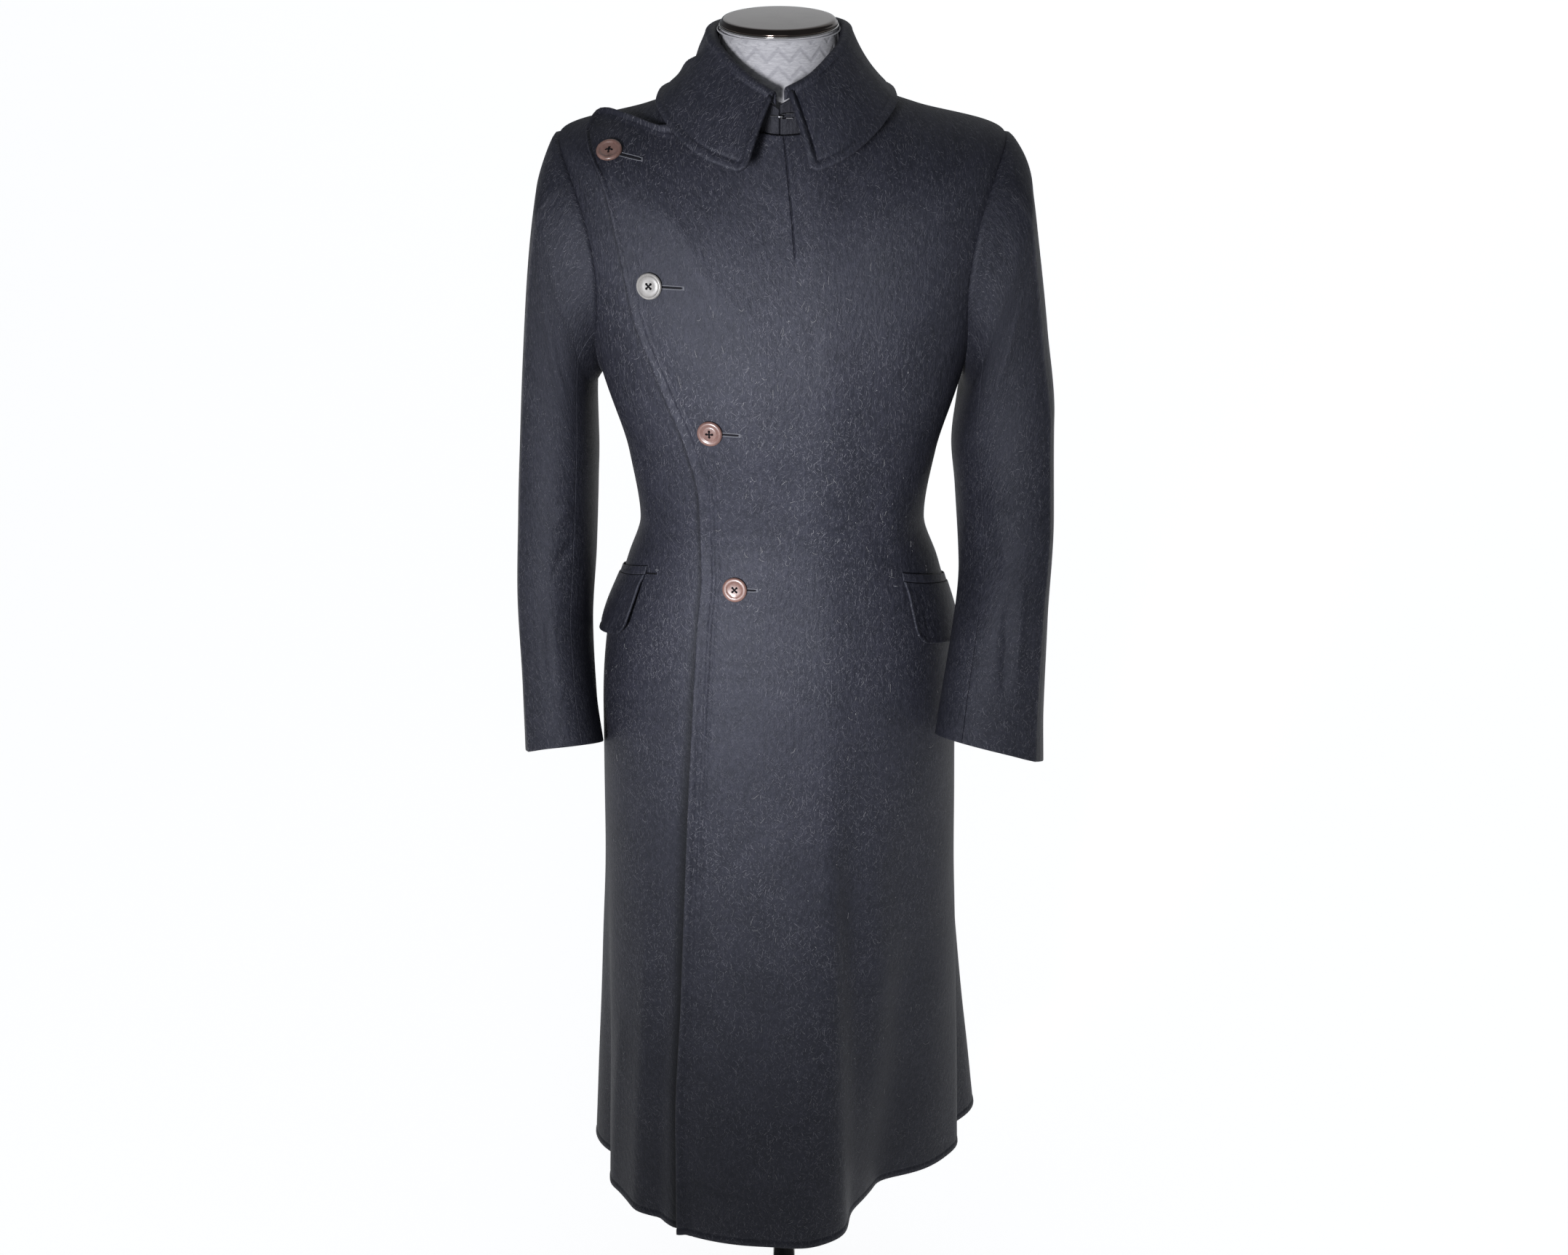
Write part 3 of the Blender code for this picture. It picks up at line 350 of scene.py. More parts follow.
def even_columns(begin, end, step):
    """Columns shared out evenly between two lines, no farther apart than the step."""
    count = max(2, int(np.ceil((end - begin).max() / step)))
    return begin + (end - begin) * np.linspace(0, 1, count + 1)[1:-1]


def lay_columns(start, end, tapes, first, last, step, guide=None):
    """Columns across a panel, at true distances from its edges. Each row's angles are turned into
    lengths, the columns keep fixed distances at both edges and at a guide line, and the rest is
    shared out evenly. Gives the angles and the distances from both edges and from the guide."""
    share = np.linspace(0, 1, SAMPLES_ACROSS)
    angle = start[:, None] + (end - start)[:, None] * share
    run = run_along(skin(angle, tapes[:, None]))
    width = run[:, -1:]
    stops, begin, middle = [first + 0 * width], first[-1] + 0 * width, 0.0
    if guide is not None:
        middle = np.array([[np.interp(g, a, r)] for g, a, r in zip(guide, angle, run)])
        stops += [even_columns(begin, middle + DART[0], step), middle + DART]
        begin = middle + DART[-1]
    stops += [even_columns(begin, width - last[-1], step), width - last[::-1]]
    place = np.concatenate(stops, 1)
    angles = np.array([np.interp(p, r, a) for p, r, a in zip(place, run, angle)])
    return angles, place, width - place, place - middle


def lay_rows():
    """Rows down a panel: rim steps at the neck and the hem, rows that bunch up at the armhole's
    ends as the cosine of an even turn, and even rows elsewhere."""
    turn = np.linspace(0, np.pi, int(round(ARMHOLE_ARC / ROW_STEP)))
    arm = TIP + (ARMPIT - TIP) * (1 - np.cos(turn)) / 2
    upper = np.linspace(RIM[-1], TIP, int(TIP / SHOULDER_STEP))
    lower = np.linspace(ARMPIT, HEM - HEM_BAND, int((HEM - ARMPIT) / ROW_STEP))
    return np.concatenate([RIM[:-1], upper, arm[1:-1], lower, HEM - HEM_ROWS])


ROWS = lay_rows()
print("rows down a panel:", len(ROWS))

# %% [markdown]
# ## Heavy milled wool
# Melton is woven, then milled until the weave is gone, so the eye sees a felt of dark fibres, a
# nap that lies down the cloth, and stray pale hairs. The colour could be one noise, but it looks
# like stone then. Here the nap is noise drawn out down the cloth, the cloudy wear is slow noise,
# and each hair is a short curved stroke through the point of a Voronoi cell, shown in a share of
# the cells. Three sizes of cell give short, middling and long hairs.

# %% Node helpers and the wool
class Nodes:
    """A material's node tree, with short ways to add and link nodes."""

    def __init__(self, name, roughness=0.9, metallic=0.0):
        """A new material with its Principled shader at that roughness."""
        self.material = bpy.data.materials.new(name)
        self.material.use_nodes = True
        self.tree = self.material.node_tree
        self.shader = self.tree.nodes["Principled BSDF"]
        self.shader.inputs["Roughness"].default_value = roughness
        self.shader.inputs["Metallic"].default_value = metallic

    def put(self, value, socket):
        """Links a value that is a socket; writes any other value as the input's constant."""
        if isinstance(value, bpy.types.NodeSocket):
            self.tree.links.new(value, socket)
        else:
            socket.default_value = value

    def add(self, kind, output=0, props=None, **inputs):
        """A node's output. An input's name is its label with underscores, or _ and its number."""
        node = self.tree.nodes.new("ShaderNode" + kind)
        for key, value in (props or {}).items():
            setattr(node, key, value)
        for key, value in inputs.items():
            names = [s for s in node.inputs if s.name.replace(" ", "_") == key]
            self.put(value, names[0] if names else node.inputs[int(key[1:])])
        return node.outputs[output]

    def parts(self, kind, value):
        """All outputs of a node that takes one value apart."""
        node = self.tree.nodes.new("ShaderNode" + kind)
        self.put(value, node.inputs[0])
        return list(node.outputs)

    def math(self, operation, a, b=0.0, clamp=False):
        """One step of arithmetic."""
        return self.add("Math", props={"operation": operation, "use_clamp": clamp}, _0=a, _1=b)

    def times(self, *values):
        """The product of all the values."""
        return reduce(lambda a, b: self.math("MULTIPLY", a, b), values)

    def place(self, scale=(1, 1, 1), source="UV", spot=(0, 0, 0)):
        """Coordinates along the cloth or in the object, stretched by a scale and moved to a spot."""
        base = self.add("UVMap", props={"uv_map": "cloth"}) if source == "UV" else self.add("TexCoord", 3)
        return self.add("Mapping", Vector=base, Scale=scale, Location=spot)

    def noise(self, where, scale, detail=3.0, rough=0.6, warp=0.0):
        """Soft noise between 0 and 1."""
        keys = dict(Scale=scale, Detail=detail, Roughness=rough, Distortion=warp)
        return self.add("TexNoise", Vector=where, **keys)

    def between(self, value, low, high, to_low=0.0, to_high=1.0):
        """The value stretched from one range to another and held at its ends."""
        keys = dict(Value=value, From_Min=low, From_Max=high, To_Min=to_low, To_Max=to_high)
        return self.add("MapRange", props={"clamp": True}, **keys)

    def mix(self, share, a, b):
        """Colour a where the share is 0, colour b where it is 1."""
        node = self.tree.nodes.new("ShaderNodeMix")
        node.data_type = "RGBA"
        self.put(share, node.inputs["Factor"])
        for socket, value in zip([s for s in node.inputs if s.type == "RGBA"], (a, b)):
            self.put(value, socket)
        return next(s for s in node.outputs if s.type == "RGBA")

    def bump(self, height, distance, strength=1.0, normal=None):
        """A normal tipped by a height of that many metres, on top of another bump if one is given."""
        extra = {} if normal is None else {"Normal": normal}
        return self.add("Bump", Height=height, Distance=distance, Strength=strength, **extra)

    def finish(self, colour, normal=None, rough=None):
        """Puts the worked-out colour, normal and roughness into the shader."""
        for value, name in ((colour, "Base Color"), (normal, "Normal"), (rough, "Roughness")):
            if value is not None:
                self.put(value, self.shader.inputs[name])
        return self.material


Fibre = namedtuple("Fibre", "name scale spot length width lean shown strength")
FIBRES = [
    Fibre("short", 430.0, (3.1, 0.4, 0), 0.0014, 0.00025, 1.5, 0.55, 0.55),
    Fibre("middling", 240.0, (0.7, 5.2, 0), 0.0024, 0.00024, 0.9, 0.48, 1.0),
    Fibre("long", 95.0, (6.3, 1.9, 0), 0.0050, 0.00022, 1.2, 0.20, 1.0),
]
# SHADE is the colour that painted shade in a groove tends to.
SHADE = (0.0006, 0.0008, 0.0014, 1)


def fibres(nodes, row):
    """Short curved hairs: cells of a Voronoi texture, and in a share of them a hair through the
    cell's point, turned by the cell's own chance: |x + curl * y^2| < width and |y| < length."""
    where = nodes.place((1, 1, 1), spot=row.spot)
    cell = nodes.tree.nodes.new("ShaderNodeTexVoronoi")
    cell.voronoi_dimensions = "2D"
    nodes.put(where, cell.inputs["Vector"])
    cell.inputs["Scale"].default_value = row.scale
    red, green, blue = nodes.parts("SeparateColor", cell.outputs["Color"])[:3]
    away = nodes.add("VectorMath", props={"operation": "SUBTRACT"}, _0=where, _1=cell.outputs["Position"])
    turn = nodes.between(red, 0.0, 1.0, -row.lean, row.lean)
    turned_by = nodes.add("VectorRotate", props={"rotation_type": "Z_AXIS"}, Vector=away, Angle=turn)
    x, y = nodes.parts("SeparateXYZ", turned_by)[:2]
    curl = nodes.between(green, 0.0, 1.0, -0.45 / row.length, 0.45 / row.length)
    off = nodes.math("ABSOLUTE", nodes.math("ADD", x, nodes.times(curl, nodes.times(y, y))))
    line = nodes.between(off, row.width * 0.3, row.width, 1.0, 0.0)
    ends = nodes.between(nodes.math("ABSOLUTE", y), row.length * 0.6, row.length, 1.0, 0.0)
    seen = nodes.between(blue, 1.0 - row.shown, 1.0 - row.shown * 0.4)
    return nodes.times(line, ends, seen)


def wool(name, dark, light, hair, hair_share):
    """Milled wool: cloudy and napped colour, pale hairs, worn edges and painted shade in grooves, over
    a fine felt bump. Tone = 0.26 cloud + 0.36 nap + 0.38 tuft."""
    n = Nodes(name, roughness=0.60)
    n.shader.inputs["Specular IOR Level"].default_value = 0.23
    n.shader.inputs["Specular Tint"].default_value = (0.86, 0.89, 1.0, 1)
    cloud = n.between(n.noise(n.place(), 22.0, 4.0, 0.62), 0.34, 0.68)
    nap = n.between(n.noise(n.place((1, 0.50, 1)), 900.0, 3.0, 0.65), 0.32, 0.70)
    felt = n.noise(n.place((1, 0.6, 1)), 2600.0, 2.0, 0.6)
    tuft = n.between(n.noise(n.place((1, 0.45, 1)), 240.0, 3.0, 0.6), 0.36, 0.66)
    tone = n.math("ADD", n.times(cloud, 0.26), n.times(nap, 0.36))
    tone = n.math("ADD", tone, n.times(tuft, 0.38))
    hairs = 0.0
    for row in FIBRES:
        hairs = n.math("MAXIMUM", hairs, n.times(fibres(n, row), row.strength), clamp=True)
    drift = n.between(n.noise(n.place((1, 1, 1), spot=(4, 4, 0)), 9.0, 3.0, 0.6), 0.36, 0.62, 0.35, 1.0)
    colour = n.mix(n.times(hairs, drift, hair_share), n.mix(tone, dark, light), hair)
    # Above 0 the mesh's point value lightens rubbed edges; below 0 it paints shade, towards SHADE.
    worn = n.add("Attribute", 2, props={"attribute_name": "wear"})
    rubbed = n.times(n.math("MAXIMUM", worn, 0.0), n.between(tuft, 0.1, 0.9, 0.35, 0.9))
    colour = n.mix(n.times(rubbed, 0.34), colour, hair)
    # Painted shade in grooves.
    colour = n.mix(n.between(worn, -1.0, 0.0), SHADE, colour)
    soft = n.bump(tuft, 0.0006, 0.55)
    fibre = n.bump(n.math("ADD", nap, n.times(felt, 0.5)), 0.00025, 0.55, soft)
    return n.finish(colour, n.bump(hairs, 0.0002, 0.6, fibre))


coat_wool = wool("wool", dark=(0.0046, 0.0052, 0.0080, 1), light=(0.0195, 0.0200, 0.0290, 1),
                 hair=(0.175, 0.175, 0.195, 1), hair_share=0.60)
under_wool = wool("stand_cloth", dark=(0.004, 0.004, 0.006, 1), light=(0.012, 0.012, 0.016, 1),
                  hair=(0.09, 0.09, 0.10, 1), hair_share=0.30)
print("wool shaders with", len(coat_wool.node_tree.nodes), "nodes each")

# %% [markdown]
# ## The coat's panels
# Two fronts and two backs, cut as the pattern is. The fine shell adds what the cutter leaves in
# the cloth: the lap's thick turned edge with the ridge of its facing inside, the neck dart, the
# turned-up hem, and the shallow waves of heavy wool. The waves are a sum of sines of the angle and
# the tape distance, the same for both layers, so the lapped fronts stay parallel.

# %% Relief of the panels
# BODY_REACH is the body's mean radius, which turns degrees into metres.
WAVE_HEIGHT, BODY_REACH = 0.00035, 0.16


def waves(angle, tape):
    """Slow waves of the cloth: three sine products, fading to nothing at the shoulders."""
    t = tape / MM
    wave = np.sin(angle / 9.0 + t / 70.0) * np.sin(t / 41.0 + angle / 31.0)
    wave = wave + 0.7 * np.sin(angle / 5.0 - t / 160.0) + 0.5 * np.sin(angle / 14.0 + t / 29.0)
    return WAVE_HEIGHT * wave * ease((tape - 0.16) / 0.12)


Crease = namedtuple("Crease", "name angle_top tape_top angle_low tape_low width depth")
CREASES = [
    Crease("under the dart", 12, 165, 12, 235, 6, -0.7),
    Crease("chest drape", -20, 150, -2, 250, 20, 0.9),
    Crease("drape from the collar", -48, 110, -25, 175, 14, 1.0),
    Crease("left waist", 40, 330, 58, 420, 18, 1.2),
    Crease("left waist, lower", 34, 372, 52, 438, 10, -0.9),
    Crease("right waist", -55, 330, -70, 410, 16, 1.0),
    Crease("front of the skirt", 17, 620, 20, 1218, 14, 2.6),
    Crease("where it turns away", 26, 620, 30, 1218, 20, -8.5),
    Crease("beyond the turn", 42, 800, 46, 1218, 22, 4.5),
    Crease("left of the lap", -50, 800, -52, 1218, 9, 2.6),
    Crease("by the lap", -43, 860, -44, 1218, 6, -2.2),
    Crease("right corner", -62, 950, -66, 1200, 9, 2.2),
    Crease("left side line", 79, 520, 80, 700, 7, 0.8),
]


def creases(angle, tape):
    """Each crease is a bell across a slanted line, with eased ends; widths and depths in mm."""
    push = 0 * angle
    for crease in CREASES:
        top, low = crease.tape_top * MM, crease.tape_low * MM
        share = (tape - top) / (low - top)
        line = crease.angle_top + (crease.angle_low - crease.angle_top) * np.clip(share, 0, 1)
        away = np.radians(angle - line) * BODY_REACH
        fade = ease(share * 3) * (1 if low > HEM - HEM_BAND else ease((1 - share) * 3))
        push = push + crease.depth * MM * bell(away, crease.width * MM) * fade
    return push


def hem_relief(tape):
    """The turned-up hem: a fuller band below a shallow stitched line 9 mm up."""
    up = HEM - tape
    return 0.0006 * ease((0.0085 - up) / 0.003) - 0.0006 * bell(up - 0.0095, 0.0014)


def across_from(middle, angle, tapes):
    """The distance along each row from a middle angle, for the UV map: lengths of small steps."""
    turn = np.linspace(middle - 180, middle + 180, 361)
    run = run_along(skin(turn, tapes[:, None]))
    run = run - run[:, 180:181]
    return np.array([np.interp(a, turn, r) for a, r in zip(angle, run)])


UV_SHIFT = {f"{name}_cloth": 2.0 * i for i, name in enumerate(
    ["front_left", "front_right", "back_left", "back_right", "upper_sleeve_left", "upper_sleeve_right",
     "under_sleeve_left", "under_sleeve_right", "collar_fall", "collar_stand", "pocket_flap_left",
     "pocket_flap_right", "pocket_welt_left", "pocket_welt_right"])}


def sew(name, faces, uv, wear, centre, finish=coat_wool):
    """A cloth piece from its (outer, inner) faces. It takes its solid's place.
    The centre is not used."""
    piece = cloth(name, *faces, finish, uv + UV_SHIFT[name], np.clip(wear, -1, 1))
    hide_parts(name.removesuffix("_cloth"))


def no_lift(angle):
    """Most panels lie on the body itself."""
    return 0 * angle


def make_panel(name, start, end, first=RIM, lift=no_lift, step=0.0050, edge_wear=0.0,
               relief=None, guide=None, swell=None, shade=None):
    """A panel between two edges: inner face = lift + waves + creases + swell, outer face = that +
    cloth + relief."""
    angle, from_start, from_end, away = lay_columns(start, end, ROWS, first, RIM, step, guide)
    tape = np.repeat(ROWS[:, None], angle.shape[1], 1)
    rim = np.minimum(np.minimum(from_start, from_end), np.minimum(tape, HEM - tape))
    round_off = quarter(rim, WOOL * 0.5)
    half = WOOL / 2 * round_off
    middle = lift(angle) + WOOL / 2 + waves(angle, tape) + creases(angle, tape)
    if swell is not None:
        middle = middle + swell(from_start, tape)
    proud = hem_relief(tape)
    if relief is not None:
        proud = proud + relief(from_start, away, tape)
    faces = body(angle, tape, middle + half + proud * round_off), body(angle, tape, middle - half)
    wear = edge_wear * bell(from_start, 0.0026) * 0.14 + bell(HEM - tape, 0.0022) * 0.16
    # Painted shade: the shade function pushes the value below 0 beside the lap.
    if shade is not None:
        wear = wear - shade(from_start, tape)
    centre_line = 0 if name.startswith("front") else math.copysign(180, float(angle[0, 0]))
    uv = np.stack([across_from(centre_line, angle, ROWS), tape], -1)
    sew(name, faces, uv, wear, body(angle, tape, middle))


# %% [markdown]
# ## The left front
# This is the piece that gives the coat its look. Its free edge is thick, because the cloth is
# turned back there over a facing, and the facing's own edge shows as a soft ridge about 14 mm in.
# The dart runs down from the neck. Columns are laid at true distances from the free edge and from
# the dart, so both stay crisp without a dense grid everywhere.

# %% Make the left front
DART_LINE = [(0, 0), (44, 2.5), (79, 4), (117, 5), (160, 6.5), (300, 9), (700, 14), (1218, 16)]


def dart_angle(tape):
    """The angle of the dart's line, and of the column line that runs on below it."""
    return np.interp(tape / MM, *np.array(DART_LINE, float).T)


SWELL = [(0, 1.0), (60, 2.6), (90, 2.8), (109, 2.7), (140, 2.0), (200, 1.3), (300, 1.0), (420, 0.7),
         (600, 1.7), (900, 2.6), (1218, 3.4)]


def lap_swell(from_edge, tape):
    """How far the free edge stands off the right front: least at the hip, most at the hem."""
    rise = np.interp(tape / MM, *np.array(SWELL, float).T)
    reach = 0.020 - 0.007 * ease((tape - 0.5) / 0.2)
    return rise * MM * ease((reach - from_edge) / reach)


def lap_relief(from_edge, away, tape):
    """The thick edge, the facing's ridge with a groove inside it, and the dart's groove."""
    high = 0.0012 + 0.0012 * ease((0.15 - tape) / 0.04) + 0.0007 * ease((tape - 0.5) / 0.2)
    thick = high * ease((0.0085 - from_edge) / 0.0055)
    shown = ease((tape - 0.20) / 0.10) * (1 - 0.75 * ease((tape - 0.70) / 0.3))
    ridge = shown * (0.0008 * bell(from_edge - 0.0132, 0.0017) - 0.0007 * bell(from_edge - 0.0168, 0.0016))
    groove = -0.0004 * bell(from_edge - 0.0095, 0.0016)
    dart = ease((0.118 - tape) / 0.008)
    seam = dart * (-0.0022 * bell(away, 0.0006) + 0.0006 * bell(away - 0.0026, 0.0022))
    return thick + ridge + groove + seam


make_panel("front_left_cloth", lap_edge(ROWS), side_bound(ROWS, -1),
           WELT, lap_lift, edge_wear=1.0, relief=lap_relief,
           guide=dart_angle(ROWS), swell=lap_swell)

# %% [markdown]
# ## The right front and the backs
# The right front runs on under the lap for a hand's width. The backs meet in a plain centre seam.
# They could be one mirrored mesh, but the skirt's folds differ from side to side, so each panel is
# worked out from the one skin.

# %% Make the other panels
# The hidden edge's share of the left front's width, and half the centre back's gap over its reach.
HIDDEN_SHARE, BACK_GAP, BACK_REACH = 5 / 16, 0.00008, 0.15
free_edge = lap_edge(ROWS)
hidden_edge = free_edge + (side_bound(ROWS, -1) - free_edge) * HIDDEN_SHARE
hidden_run = np.abs(np.subtract(*(across_from(0, edge[:, None], ROWS) for edge in (hidden_edge, free_edge))))


def past_lap(from_start, tape):
    """The distance out from the lap's edge, from the distance to the right front's hidden edge."""
    return from_start - np.interp(tape, ROWS, hidden_run[:, 0])


def beside_lap(from_start, tape):
    """Beside the lap's edge the cloth is pressed in by a groove, deepest down the skirt."""
    depth = 0.0004 + 0.0018 * ease((tape - 0.5) / 0.25)
    return -depth * bell(past_lap(from_start, tape) - 0.0015, 0.0050)


def lap_shade(from_start, tape):
    """Painted shade, with no nap, in the groove beside the lap: full at the edge, none 1 to 2 cm out."""
    low = ease((tape - 0.45) / 0.30)
    wide = 0.0085 + 0.0095 * low
    fade = ease(1.25 * (wide - past_lap(from_start, tape)) / wide)
    return (0.80 + 0.20 * low) * fade * ease((tape - 0.10) / 0.06)


# The right front has painted shade in the groove beside the lap's edge.
make_panel("front_right_cloth", hidden_edge, -side_bound(ROWS, -1),
           step=0.0044, swell=beside_lap, shade=lap_shade)
centre_back = 180 - math.degrees(BACK_GAP / BACK_REACH) + 0 * ROWS
for side, way in (("left", 1), ("right", -1)):
    make_panel(f"back_{side}_cloth", way * side_bound(ROWS, 1), way * centre_back,
               step=0.0046)

# %% [markdown]
# ## The sleeves
# A two-piece sleeve is a bent tube, cut lengthwise at the back of the arm and inside its front.
# Each section passes through its outer, inner, front and back points. The pressed crease on the
# outer front is a narrow ridge. A tube bent by an armature would wrinkle by itself, but the
# sections hold the photograph's outline exactly, so soft folds are added as bells on them.

# %% Sizes and surface of the sleeves
Cuff = namedtuple("Cuff", "name down outer inner z_outer z_inner front back pitch")
LEFT_SLEEVE = [
    Cuff("head", 20, 233, 189, 1186, 958, -90, 86, 0),
    Cuff("cap", 60, 242, 186, 1156, 946, -92, 86, 0),
    Cuff("upper arm", 120, 252, 181, 1098, 922, -91, 82, 4),
    Cuff("bicep", 200, 265, 177, 1012, 886, -90, 76, 10),
    Cuff("above the elbow", 280, 275, 181, 925, 842, -99, 58, 18),
    Cuff("elbow", 370, 275, 184, 825, 772, -128, 10, 28),
    Cuff("forearm", 460, 269, 174, 725, 704, -155, -44, 34),
    Cuff("lower forearm", 550, 268, 165, 635, 648, -167, -62, 36),
    Cuff("cuff", 606, 270, 159, 576, 606, -172, -74, 36),
]
RIGHT_SLEEVE = [
    Cuff("head", 20, 234, 190, 1186, 962, -90, 86, 0),
    Cuff("cap", 60, 241, 195, 1156, 950, -92, 86, 0),
    Cuff("upper arm", 120, 251, 196, 1098, 924, -90, 82, 4),
    Cuff("bicep", 200, 261, 196, 1012, 886, -87, 78, 10),
    Cuff("above the elbow", 280, 269, 198, 925, 842, -86, 74, 16),
    Cuff("elbow", 370, 276, 202, 825, 772, -92, 66, 26),
    Cuff("forearm", 460, 280, 208, 725, 690, -102, 48, 38),
    Cuff("lower forearm", 550, 278, 205, 628, 616, -112, 22, 48),
    Cuff("cuff", 606, 278, 198, 557, 566, -118, 2, 52),
]
SLEEVE_SQUARE, SLEEVE_SEAMS, SLEEVE_GAP, SLEEVE_REACH = 2.25, (-75.0, 125.0), 0.0006, 0.075
CREASE_TURN, CREASE_WIDTH, CREASE_HEIGHT = 48.0, 15.0, 0.0045
Bend = namedtuple("Bend", "name side turn_top down_top turn_low down_low width depth")
BENDS = [
    Bend("crown", 1, -8, -40, 0, 72, 30, 4.2),
    Bend("upper drag", 1, 60, 90, 110, 175, 12, 1.6),
    Bend("elbow, inside", 1, 130, 330, 100, 395, 9, -2.6),
    Bend("elbow, above", 1, 125, 290, 95, 345, 9, 2.0),
    Bend("forearm fold", 1, 92, 400, 84, 560, 9, -2.4),
    Bend("beside the fold", 1, 76, 395, 68, 570, 9, 1.6),
    Bend("upper drag", -1, 60, 90, 110, 180, 12, 1.6),
    Bend("elbow, inside", -1, 128, 350, 96, 410, 9, -2.4),
    Bend("elbow, above", -1, 124, 310, 92, 360, 9, 1.8),
    Bend("forearm fold", -1, 84, 420, 92, 560, 10, -1.6),
]


def armhole_line(turn, side, out):
    """The armhole on the body: the tape follows the cosine of the turn, the angle its arch."""
    share = (1 - np.cos(np.radians(turn))) / 2
    tape = TIP + (ARMPIT - TIP) * share
    cut = np.where(np.sin(np.radians(turn)) > 0, -ARMHOLE_FRONT, ARMHOLE_BACK)
    angle = 90 + cut * np.abs(np.sin(np.pi * share)) ** ARMHOLE_ROUND
    return body(side * angle, tape, out)


def sleeve_middle(table, side, downs, turns):
    """The middle of the cloth: centre + half axis * reach(turn) * (cos, sin), with the crease as a
    broad bell and a sharp one, eased into the armhole's line over the first stretch."""
    value = {c: smooth(downs, column(table, "down") * MM, column(table, c)) * MM for c in Cuff._fields[2:]}
    turn = np.radians(turns)
    c, s = np.cos(turn), np.sin(turn)
    reach = (np.abs(c) ** SLEEVE_SQUARE + np.abs(s) ** SLEEVE_SQUARE) ** (-1 / SLEEVE_SQUARE)
    off = turns - CREASE_TURN
    ridge = bell(off, CREASE_WIDTH) * CREASE_HEIGHT + bell(off, 2.6) * 0.0011 * ease(downs / 0.1)
    for bend in BENDS:
        if bend.side == side:
            share = (downs / MM - bend.down_top) / (bend.down_low - bend.down_top)
            line = bend.turn_top + (bend.turn_low - bend.turn_top) * np.clip(share, 0, 1)
            fade = ease(share * 3) * ease((1 - share) * 3)
            away = np.radians(turns - line) * SLEEVE_REACH / MM
            ridge = ridge + bell(away, bend.width) * bend.depth * MM * fade
    middle = (value["outer"] + value["inner"]) / 2
    x = middle + (value["outer"] - value["inner"]) / 2 * reach * c + ridge * c
    y = (value["front"] + value["back"]) / 2 + (value["front"] - value["back"]) / 2 * reach * s - ridge * s
    z = (value["z_outer"] + value["z_inner"]) / 2 + (value["z_outer"] - value["z_inner"]) / 2 * reach * c
    z = z + value["pitch"] / 2 * reach * s + HEM_HEIGHT
    plain = np.stack([side * x, y, z], -1)
    share = ease(downs / (table[1].down * MM))[..., None]
    out = 0.62 * WOOL + (0.88 * WOOL + SLEEVE_GAP) * ease(downs / 0.005)
    return armhole_line(turns % 360, side, out) * (1 - share) + plain * share


def sleeve_face(table, side, downs, turns, out):
    """A sleeve's face: the middle, moved out along the cross product of small steps."""
    end = table[-1].down * MM
    around = sleeve_middle(table, side, downs, turns + 0.4) - sleeve_middle(table, side, downs, turns - 0.4)
    along = sleeve_middle(table, side, np.clip(downs + 0.0008, 0, end), turns)
    along = along - sleeve_middle(table, side, np.clip(downs - 0.0008, 0, end), turns)
    return sleeve_middle(table, side, downs, turns) + unit(np.cross(along, around) * side) * out[..., None]


# %% Make the sleeves
def sleeve_turns(first, last):
    """Turns round half a sleeve: close at its seams and beside the crease."""
    seam = math.degrees(SEAM / 2 / SLEEVE_REACH)
    rim = np.degrees(RIM / SLEEVE_REACH)
    inner = np.linspace(first + seam + rim[-1], last - seam - rim[-1], int((last - first) / 2.2))
    near = CREASE_TURN + np.array([-5, -3.5, -2.4, -1.5, -0.8, 0, 0.8, 1.5, 2.4, 3.5, 5])
    if first < CREASE_TURN < last:
        inner = np.concatenate([inner[np.abs(inner - CREASE_TURN) > 6], near])
    return np.sort(np.concatenate([first + seam + rim[:-1], inner, last - seam - rim[:-1]]))


def make_sleeve(side_name, table, side):
    """The upper and under halves. The cuff is turned up, so its last 6 mm are a little fuller."""
    end = table[-1].down * MM
    cuff = end - np.array([16, 13, 10, 7.5, 5.5, 4.2, *(RIM[::-1] / MM)]) * MM
    upper, lower = np.linspace(RIM[-1], 0.06, 16), np.linspace(0.064, cuff[0] - 0.004, 118)
    downs = np.concatenate([RIM[:-1], upper, lower, cuff])
    halves = {"upper": (*SLEEVE_SEAMS, (0.26, 0.64)),
              "under": (SLEEVE_SEAMS[1], SLEEVE_SEAMS[0] + 360, (0.20, 0.62))}
    for half_name, (first, last, flat) in halves.items():
        name = f"{half_name}_sleeve_{side_name}_cloth"
        turn, down = np.meshgrid(sleeve_turns(first, last), downs)
        middle = sleeve_middle(table, side, down, turn)
        run = run_along(middle)
        rim = np.minimum(4 * np.minimum(run, run[:, -1:] - run), np.minimum(down, end - down))
        round_off = quarter(rim, WOOL * 0.5)
        half = WOOL / 2 * round_off
        proud = round_off * 0.0004 * ease((0.006 - (end - down)) / 0.002)
        faces = [sleeve_face(table, side, down, turn, out) for out in (half + proud, -half)]
        shown = ease(down / 0.09) * (0.25 + 0.75 * ease((table[4].down * MM - down) / 0.12))
        wear = 0.75 * bell(turn - CREASE_TURN, 1.5) * shown + 0.12 * bell(end - down, 0.002)
        sew(name, faces, np.stack([run, down], -1), wear, middle)


make_sleeve("left", LEFT_SLEEVE, 1)
make_sleeve("right", RIGHT_SLEEVE, -1)

# %% [markdown]
# ## The collar
# The fall rises from the neck, rolls over and lies down on the shoulders in two pointed leaves.
# Its row of stitches 9 mm inside the edge presses a groove that leaves a full welt outside it.
# The roll is a half circle carried along the neck's line, and the leaf runs from it to the edge
# with a slight belly; the leaves' corners are rounded by shortening the rows as a circle does.

